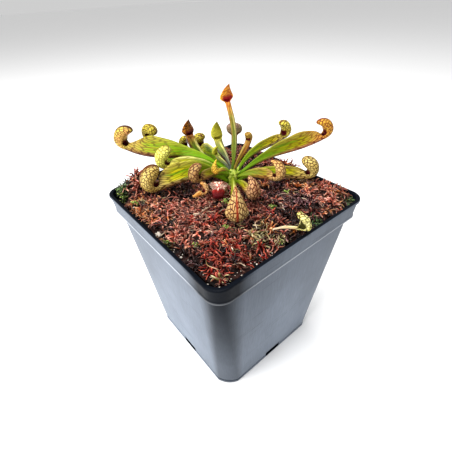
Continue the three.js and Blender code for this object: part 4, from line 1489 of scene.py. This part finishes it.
    def grown(self, base: Array, growth: Growth, tone: Array, draw: np.random.Generator) -> Skin:
        """Strands that grow in all directions.

        Args:
            base: (n, 3) roots.
            growth: The ranges that their sizes are drawn from.
            tone: Index of each strand's MossTone.
            draw: The seeded stream of numbers.

        Returns:
            One skin.
        """
        n = len(base)
        heading = draw.uniform(0, 2 * np.pi, n)
        limits = (growth.reach, growth.rise, growth.droop)
        reach, rise, droop = (draw.uniform(*between, n) for between in limits)
        curl = draw.normal(0, growth.curl, n)
        width = draw.uniform(*growth.width, n)
        return self.strands(base, heading, reach, rise, droop, curl, width, tone, draw, growth.rings)

    def stems(self) -> Skin:
        """Long thin stems and old threads that lie in curves over the tufts.

        Returns:
            One skin.
        """
        draw = np.random.default_rng(self.seed + 1)
        n = self.threads
        x, y = (draw.uniform(-self.scatter, self.scatter, n) for _ in range(2))
        picks = draw.choice(len(THREADS), n, p=list(THREADS.values()))
        tone = np.array([t.number for t in THREADS])[picks]
        base = np.column_stack([x, y, self.bed_level(x, y) + draw.uniform(0.2, 1.4, n)])
        growth = Growth((3, 8), (0.6, 2.0), (0.3, 1.2), 2.2, (0.18, 0.34), 9)
        return self.grown(base, growth, tone, draw)

    def sprigs(self) -> Skin:
        """Leafy green sprigs: whorls of short broad strands at named places and at seeded ones.

        Returns:
            One skin.
        """
        draw = np.random.default_rng(self.seed + 2)
        far = self.scatter
        places = [(draw.uniform(-far, far), draw.uniform(-far, far)) for _ in range(self.loose_sprigs)]
        more = [(*place, MossTone.LIME) for place in places]
        spots = np.array([(a, b, t.number) for a, b, t in (*SPRIGS, *more)])
        k = np.repeat(np.arange(len(spots)), self.sprig_arms)
        n = len(k)
        x, y = (spots[k, axis] + draw.normal(0, 0.7, n) for axis in (0, 1))
        base = np.column_stack([x, y, self.bed_level(x, y) - 0.2 + draw.uniform(0, 1.6, n)])
        growth = Growth((0.7, 1.9), (0.5, 1.6), (0, 0.9), 0.3, (0.32, 0.5))
        return self.grown(base, growth, spots[k, 2].astype(int), draw)

    def perlite(self) -> Skin:
        """White crumbs: spheres of rings whose radius is shaken by a rolling field.

        Returns:
            One skin.
        """
        draw = np.random.default_rng(self.seed + 3)
        limits = ((-41, 41), (-41, 41), (0.25, 0.45))
        spots = list(CRUMBS)
        for _ in range(self.loose_crumbs):
            spots.append(tuple(draw.uniform(*between) for between in limits))
        # Specks washed against the two front rims.
        for _ in range(self.rim_specks):
            by, along, r = draw.uniform(-41.8, -39.5), draw.uniform(-38, -4), draw.uniform(0.16, 0.28)
            spots += [(by, along, r), (along, by + 0.3, r)]
        down = np.linspace(0, np.pi, 9)[1:-1, None]
        turn = np.linspace(0, 2 * np.pi, 12, endpoint=False)[None, :]
        parts = []
        for k, (x, y, r) in enumerate(spots):
            z = float(self.bed_level(np.array([x]), np.array([y]))[0]) + 0.5 * r + 0.3
            rough = r * (1 + 0.3 * ripple(2 * turn + 0 * down, 3 * down + 0 * turn, 1.9, 60 + k))
            out, sunk = rough * np.sin(down), 0.8 * rough * np.cos(down)
            ball = np.stack([x + out * np.cos(turn), y + out * np.sin(turn), z - sunk], -1)
            parts.append(lofted(ball, np.array([x, y, z - 0.8 * r]), np.array([x, y, z + 0.8 * r])))
        return Skin.joined(parts)

    def build(self) -> None:
        """Makes the bed, the tufts, the stems, the sprigs and the perlite."""
        bed = make_piece("moss_bed", self.bed(), LITTER.build())
        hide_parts("moss")
        finish = StrandFinish().build()
        for name, skin in self.tufts().items():
            make_piece(name, skin, finish)
        make_piece("moss_stems", self.stems(), finish)
        make_piece("moss_sprigs", self.sprigs(), finish)
        make_piece("perlite_crumbs", self.perlite(), PERLITE.build())


def rounded_square(
    half: Array,
    corner: Array,
    z: Array,
    flat: Array | float = 0.0,
    corner_steps: int = 16,
    side_steps: int = 10,
) -> Array:
    """Square outlines with round corners, counter-clockwise from above.

    Each corner is a quarter circle and each side a straight run between two of them. A corner is
    drawn towards the straight line between its ends by flat.

    Args:
        half: Half widths, one for each outline.
        corner: Corner radii.
        z: Heights.
        flat: How flat the corners are, from 0 for round to 1 for cut off.
        corner_steps: Steps round a corner.
        side_steps: Steps along a side.

    Returns:
        (outlines, around, 3).
    """
    half, corner, z = (np.asarray(v, dtype=float)[:, None] for v in (half, corner, z))
    flat = np.broadcast_to(flat, half.shape[0])[:, None]
    rows = []
    for side in range(4):
        turn = np.radians(90 * side + np.linspace(0, 90, corner_steps + 1))[None, :]
        sx, sy = ((1, 1), (-1, 1), (-1, -1), (1, -1))[side]
        x = sx * (half - corner) + corner * np.cos(turn)
        y = sy * (half - corner) + corner * np.sin(turn)
        share = np.linspace(0, 1, corner_steps + 1)[None, :]
        x = lerp(x, lerp(x[:, :1], x[:, -1:], share), flat)
        y = lerp(y, lerp(y[:, :1], y[:, -1:], share), flat)
        rows.append(np.stack([x, y, np.broadcast_to(z, x.shape)], -1))
        t = np.linspace(0, 1, side_steps + 1)[1:-1][None, :, None]
        ahead = ((-1, 1), (-1, -1), (1, -1), (1, 1))[side]
        turn = np.radians(90 * (side + 1))
        end_x = ahead[0] * (half - corner) + corner * np.cos(turn)
        end_y = ahead[1] * (half - corner) + corner * np.sin(turn)
        end = np.stack([end_x, end_y, z], -1)
        rows.append(lerp(rows[-1][:, -1:], end, t))
    return np.concatenate(rows, axis=1)


@dataclass(frozen=True)
class PotPlastic:
    """Black injection-moulded polypropylene, with a painted reflection of the white room on its flat sides.

    The painted reflection lifts the sides to grey. It leaves the rim, the inside and the near round corner
    dark, as painted shade where the near corner faces the dark room behind the camera, most of all under the
    rim.
    """

    name: str = "nursery_pot_plastic"
    plastic: str = "070b12"
    painted_reflection: str = "7c8592"
    bead_highlight: str = "d2d6dc"
    bead: float = 85.95
    foot_half: float = 34.8
    taper: float = 0.0867
    collar_foot: float = 85.5
    drag_lines: float = 1700.0

    def build(self) -> bpy.types.Material:
        """Makes the material.

        Returns:
            Semi-gloss plastic with fine upright drag lines from the mould, 0.6 mm apart, a painted reflection
            on its flat sides and a painted highlight along the bead.
        """
        material, add = new_material(self.name)
        place = add("TexCoord").outputs["Object"]
        x, y, z = add("SeparateXYZ", {0: place}).outputs
        flat = add("VectorMath", {0: place, 1: (1.0, 1.0, 0.0)}, operation="MULTIPLY")
        outwards = add("VectorMath", {0: flat}, operation="NORMALIZE")
        normal = add("NewGeometry").outputs["Normal"]
        facing = add("VectorMath", {0: outwards, 1: normal}, operation="DOT_PRODUCT").outputs["Value"]
        turned = {"Value": facing, "From Min": 0.15, "From Max": 0.5}
        outside = add("MapRange", turned, interpolation_type="SMOOTHSTEP")
        # x + y over minus twice the half width there: 1 at the near corner, 0 at the side ones.
        both = add("Math", {0: x, 1: y}, operation="ADD")
        half = {0: z, 1: -2 * self.taper, 2: -2 * self.foot_half * MM}
        cornered = add("Math", {0: both, 1: add("Math", half, operation="MULTIPLY_ADD")}, operation="DIVIDE")
        # Painted shade: on the collar the dark band round the near corner is wider.
        below, above = (MM * (self.collar_foot + off) for off in (-0.2, 0.2))
        collar = add("MapRange", {"Value": z, "From Min": below, "From Max": above, "To Max": 0.035})
        cornered = add("Math", {0: cornered, 1: collar}, operation="ADD")
        # How much painted reflection the sides get: most on the flat sides, none at the near corner.
        greys = ((0.0, 0.8), (0.5, 0.95), (0.84, 0.75), (0.95, 0.0))
        stops = [(at, (grey, grey, grey, 1.0)) for at, grey in greys]
        side = add("ValToRGB", {"Fac": cornered}, stops=stops)
        # Painted reflection: none on the near corner under the rim, and about half of it at the foot.
        foot = add("MapRange", {"Value": z, "From Max": 88.0 * MM, "To Min": 0.42, "To Max": 0.0})
        reflecting = add("Math", {0: side, 1: foot}, operation="MAXIMUM")
        # The painted reflection is weaker towards the top, and patchy.
        reflection_fade = add("MapRange", {"Value": z, "From Max": 90.0 * MM, "To Min": 1.2, "To Max": 0.72})
        cloud = add("TexNoise", {"Vector": place, "Scale": 38.0, "Detail": 4.0})
        patchy = {"Value": cloud, "From Min": 0.3, "From Max": 0.7, "To Min": 0.8, "To Max": 1.05}
        cloudy = add("MapRange", patchy)
        upright = add("VectorMath", {0: place, 1: (1.0, 1.0, 0.03)}, operation="MULTIPLY")
        drag = add("TexNoise", {"Vector": upright, "Scale": self.drag_lines, "Detail": 1.0})
        dragged = {"Value": drag, "From Min": 0.3, "From Max": 0.7, "To Min": 0.92, "To Max": 1.07}
        # Slanting scuffs, long and a millimetre wide, that break up the painted reflection.
        slanted = {"Vector": place, "Rotation": (0.6, 0.5, 0.3), "Scale": (28.0, 40.0, 900.0)}
        scuff = add("TexNoise", {"Vector": add("Mapping", slanted), "Scale": 1.0, "Detail": 2.0})
        scuffed = {"Value": scuff, "From Min": 0.66, "From Max": 0.74, "To Min": 1.0, "To Max": 0.72}
        # The painted reflection of the white room lies only on outward faces.
        reflection_mask = outside
        for share in (reflecting, reflection_fade, cloudy, add("MapRange", dragged), add("MapRange", scuffed)):
            reflection_mask = add("Math", {0: reflection_mask, 1: share}, operation="MULTIPLY")
        colour = add("Mix", {0: reflection_mask, 6: linear(self.plastic), 7: linear(self.painted_reflection)}, data_type="RGBA")
        # A painted highlight along the bead at the collar's foot, weaker towards the near corner.
        off_bead = add("Math", {0: z, 1: self.bead * MM}, operation="SUBTRACT")
        from_bead = add("Math", {0: off_bead}, operation="ABSOLUTE")
        near = {"Value": from_bead, "From Min": 0.2 * MM, "From Max": 0.5 * MM, "To Min": 0.6, "To Max": 0.0}
        bead_glint = add("MapRange", near)
        reach = add("Math", {0: side, 1: 0.75, 2: 0.25}, operation="MULTIPLY_ADD")
        for share in (reach, outside, cloudy):
            bead_glint = add("Math", {0: bead_glint, 1: share}, operation="MULTIPLY")
        colour = add("Mix", {0: bead_glint, 6: colour, 7: linear(self.bead_highlight)}, data_type="RGBA")
        peel = add("TexNoise", {"Vector": place, "Scale": 260.0, "Detail": 2.0})
        height = add("Math", {0: drag, 1: 0.5, 2: peel}, operation="MULTIPLY_ADD")
        bump = add("Bump", {"Height": height, "Strength": 0.12, "Distance": 0.3 * MM})
        surface = {
            "Base Color": colour,
            "Normal": bump,
            "Roughness": 0.36,
            "IOR": 1.45,
            "Specular IOR Level": 0.035,
        }
        add("OutputMaterial", {"Surface": add("BsdfPrincipled", surface)})
        return material


@dataclass
class NurseryPot:
    """A square pot: tapered walls on a foot ring, a collar with a beaded foot, a lip and drain slots."""

    height: float = 95.0
    rim: float = 45.0
    lip_height: float = 1.3
    lip_overhang: float = 0.6
    collar_height: float = 9.6
    collar_foot: float = 43.8
    shoulder: float = 42.2
    base: float = 34.8
    foot_ring: float = 2.0
    ring_proud: float = 0.3
    groove: float = 0.45
    rim_corner: float = 7.0
    base_corner: float = 7.8
    corner_flat: float = 0.45
    wall: float = 1.2
    floor: float = 1.6
    slot_width: float = 11.0
    slot_height: float = 4.4
    slot_depth: float = 6.0
    slot_sill: float = 0.8
    hole_radius: float = 3.0
    hole_spread: float = 20.0
    hole_steps: int = 40
    sharp_from: float = 38.0

    def profile(self) -> Array:
        """The wall's half width and height, from under the foot over the lip to the inside floor.

        Returns:
            (n, 2), with every edge rounded by a few close points.
        """
        collar = self.height - self.collar_height
        lip = self.height - self.lip_height
        rim, foot, shoulder, base, wall = self.rim, self.collar_foot, self.shoulder, self.base, self.wall
        ring, foot_ring = self.foot_ring, base + self.ring_proud
        walls = np.linspace(0, 1, 26)[1:-1]
        side = [(lerp(base + 0.2, shoulder - 0.15, t), lerp(ring + 0.5, collar - 0.5, t)) for t in walls]
        under_lip = rim - self.lip_overhang
        collar_side = [(lerp(foot, under_lip, t), lerp(collar + 1.3, lip - 0.25, t)) for t in walls[::3]]
        return np.array(
            [
                (foot_ring - 0.8, 0.0),
                (foot_ring - 0.4, 0.04),
                (foot_ring - 0.12, 0.15),
                (foot_ring, 0.4),
                (foot_ring, ring - 0.75),
                (foot_ring - 0.12, ring - 0.58),
                (foot_ring - 0.35, ring - 0.5),
                (base - self.groove, ring - 0.45),
                (base - self.groove, ring - 0.05),
                (base - 0.05, ring + 0.02),
                (base + 0.1, ring + 0.12),
                (base + 0.18, ring + 0.3),
                *side,
                (shoulder - 0.1, collar - 0.25),
                (shoulder + 0.1, collar - 0.05),
                (foot - 0.35, collar),
                (foot + 0.05, collar + 0.08),
                (foot + 0.27, collar + 0.3),
                (foot + 0.3, collar + 0.55),
                (foot + 0.2, collar + 0.8),
                (foot + 0.02, collar + 1.0),
                *collar_side,
                (under_lip + 0.05, lip - 0.1),
                (rim - 0.2, lip),
                (rim - 0.03, lip + 0.15),
                (rim, lip + 0.4),
                (rim, self.height - 0.4),
                (rim - 0.05, self.height - 0.15),
                (rim - 0.25, self.height - 0.02),
                (rim - 0.6, self.height),
                (under_lip - wall + 0.4, self.height),
                (under_lip - wall + 0.1, self.height - 0.08),
                (under_lip - wall, self.height - 0.35),
                (foot - wall, collar + wall),
                (shoulder - wall, collar),
                (base - wall + 0.15, self.floor + 0.8),
                (base - wall - 0.3, self.floor + 0.2),
                (base - wall - 0.9, self.floor),
            ]
        )

    def skin(self) -> Skin:
        """Carries rounded squares up the outside, over the lip and down to the inside floor.

        Returns:
            The closed skin, before its slots and holes.
        """
        profile = self.profile()
        half, z = profile[:, 0], profile[:, 1]
        corner = lerp(self.base_corner, self.rim_corner, z / self.height)
        # The profile's last eight points are the wall's inside, where the corners are tighter.
        inner = np.arange(len(z)) >= len(z) - 8
        corner = np.where(inner, corner - self.wall, corner)
        flat = self.corner_flat * (1 - smooth(z / self.height))
        rings = rounded_square(half, corner, z, flat)
        return lofted(rings, np.array([0.0, 0, 0]), np.array([0.0, 0, self.floor]))

    def cutters(self) -> list[bpy.types.Object]:
        """Boxes for the slots in the middle of each side, and cylinders for the holes in the floor.

        Returns:
            Cutting objects.
        """
        made = []
        for side in range(4):
            turn = Matrix.Rotation(np.radians(90 * side), 4, "Z")
            bpy.ops.mesh.primitive_cube_add(size=1)
            slot = bpy.context.object
            tall = self.slot_height - self.slot_sill
            scale = Matrix.Diagonal((2 * self.slot_depth * MM, self.slot_width * MM, tall * MM, 1))
            middle = (self.base * MM, 0, (self.slot_sill + tall / 2) * MM)
            slot.data.transform(turn @ Matrix.Translation(middle) @ scale)
            radius, depth = self.hole_radius * MM, 4 * self.floor * MM
            bpy.ops.mesh.primitive_cylinder_add(radius=radius, depth=depth, vertices=self.hole_steps)
            hole = bpy.context.object
            spread = self.hole_spread * MM
            hole.data.transform(turn @ Matrix.Translation((spread, spread, 0)))
            made += [slot, hole]
        return made

    def build(self) -> None:
        """Makes the pot and cuts its slots and holes."""
        pot = make_piece("plastic_pot", self.skin(), PotPlastic().build())
        cutters = self.cutters()
        for cutter in cutters:
            cut = pot.modifiers.new(cutter.name, "BOOLEAN")
            cut.operation, cut.solver, cut.object = "DIFFERENCE", "EXACT", cutter
        bpy.context.view_layer.update()
        graph = bpy.context.evaluated_depsgraph_get()
        cut_mesh = bpy.data.meshes.new_from_object(pot.evaluated_get(graph))
        pot.modifiers.clear()
        pot.data = cut_mesh
        for cutter in cutters:
            bpy.data.objects.remove(cutter)
        cut_mesh.set_sharp_from_angle(angle=np.radians(self.sharp_from))
        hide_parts("pot")


@dataclass
class PeatFill:
    """The peat that fills the pot, with a crumbly top that shows round the moss."""

    top: float = 91.0
    foot: float = 1.9
    foot_half: float = 33.4
    collar_height: float = 85.4
    collar_half: float = 42.2
    shoulder_half: float = 40.6

    def skin(self) -> Skin:
        """Rounded squares up the pot's inside, then inwards over the top on a rolling field.

        Returns:
            The closed skin.
        """
        half = [self.foot_half, self.shoulder_half, self.collar_half, self.collar_half]
        z = [self.foot, self.collar_height, self.collar_height + 2.4, self.top - 0.4]
        sides = len(z)
        inwards = np.linspace(self.collar_half - 0.3, 1.5, 60)
        half = np.concatenate([half, inwards])
        z = np.concatenate([z, np.full(len(inwards), self.top - 0.35)])
        corner = np.minimum(6.0, 0.7 * half)
        rings = rounded_square(half, corner, z, corner_steps=8, side_steps=24)
        x, y = rings[sides:, :, 0], rings[sides:, :, 1]
        rings[sides:, :, 2] += 0.2 * ripple(x, y, 2.0, 31) + 0.14 * ripple(x, y, 0.9, 32)
        return lofted(rings, np.array([0, 0, self.foot]), np.array([0, 0, self.top - 0.35]))

    def build(self) -> None:
        """Makes the peat."""
        piece = make_piece("peat_fill", self.skin(), PEAT.build())
        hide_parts("peat")


@dataclass(frozen=True)
class PhotoCamera:
    """The photograph's viewpoint: place in millimetres, the frame's right and up, and focal length."""

    place: tuple[float, float, float] = (-82.13, -99.46, 175.79)
    right: tuple[float, float, float] = (0.76781, -0.63982, -0.03332)
    up: tuple[float, float, float] = (0.41360, 0.45528, 0.78845)
    lens: float = 24.90
    sensor: float = 36.0

    def build(self) -> None:
        """Makes the camera and gives it to the scene."""
        data = bpy.data.cameras.new("photo_camera")
        data.lens, data.sensor_width = self.lens, self.sensor
        data.clip_start, data.clip_end = 0.005, 50
        camera = bpy.data.objects.new("photo_camera", data)
        right, up = Vector(self.right).normalized(), Vector(self.up)
        back = right.cross(up).normalized()
        up = back.cross(right)
        turn = Matrix((right, up, back)).transposed().to_4x4()
        camera.matrix_world = Matrix.Translation(Vector(self.place) * MM) @ turn
        bpy.context.scene.collection.objects.link(camera)
        bpy.context.scene.camera = camera


@dataclass(frozen=True)
class Softbox:
    """A square studio light: name, place, what it is aimed at, side and power in watts."""

    name: str
    place: tuple[float, float, float]
    side: float
    watts: float
    aim: tuple[float, float, float] = (0.0, 0.0, 0.08)

    def build(self) -> None:
        """Makes the light."""
        data = bpy.data.lights.new(self.name, "AREA")
        data.shape, data.size, data.energy = "SQUARE", self.side, self.watts
        light = bpy.data.objects.new(self.name, data)
        way = Vector(self.aim) - Vector(self.place)
        light.rotation_euler = way.to_track_quat("-Z", "Y").to_euler()
        light.location = self.place
        bpy.context.scene.collection.objects.link(light)


@dataclass
class Studio:
    """A pale floor in a white room, with soft light from the left and above.

    floor is half the floor's side in metres, and room is how bright the room is.
    """

    floor: float = 4.0
    room: float = 0.62
    boxes: tuple[Softbox, ...] = (
        Softbox("key_left", (-0.75, 0.05, 0.5), 0.6, 10.8),
        Softbox("top", (0.0, 0.1, 0.9), 0.5, 7.0),
    )

    def build(self) -> None:
        """Makes the floor, the room's light and the softboxes."""
        points = [(self.floor * x, self.floor * y, 0) for x, y in ((-1, -1), (1, -1), (1, 1), (-1, 1))]
        mesh = bpy.data.meshes.new("floor")
        mesh.from_pydata(points, [], [(0, 1, 2, 3)])
        floor = bpy.data.objects.new("floor", mesh)
        bpy.context.scene.collection.objects.link(floor)
        material, add = new_material("pale_floor")
        shader = add("BsdfPrincipled", {"Base Color": linear("fafafa"), "Roughness": 0.9})
        add("OutputMaterial", {"Surface": shader})
        mesh.materials.append(material)
        world = bpy.data.worlds.new("white_room")
        world.use_nodes = True
        light = world.node_tree.nodes["Background"].inputs
        light["Color"].default_value = linear("ffffff")
        light["Strength"].default_value = self.room
        bpy.context.scene.world = world
        for box in self.boxes:
            box.build()
        bpy.context.scene.view_settings.view_transform = "Standard"


def main() -> None:
    """Loads the solids, dresses them and sets up the studio."""
    logging.basicConfig(level=logging.INFO, format="%(name)s %(message)s")
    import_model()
    PhotoCamera().build()
    Studio().build()
    NurseryPot().build()
    PeatFill().build()
    rosette = Rosette()
    rosette.build()
    MossCarpet(rosette.posts()).build()


if __name__ == "__main__":
    main()
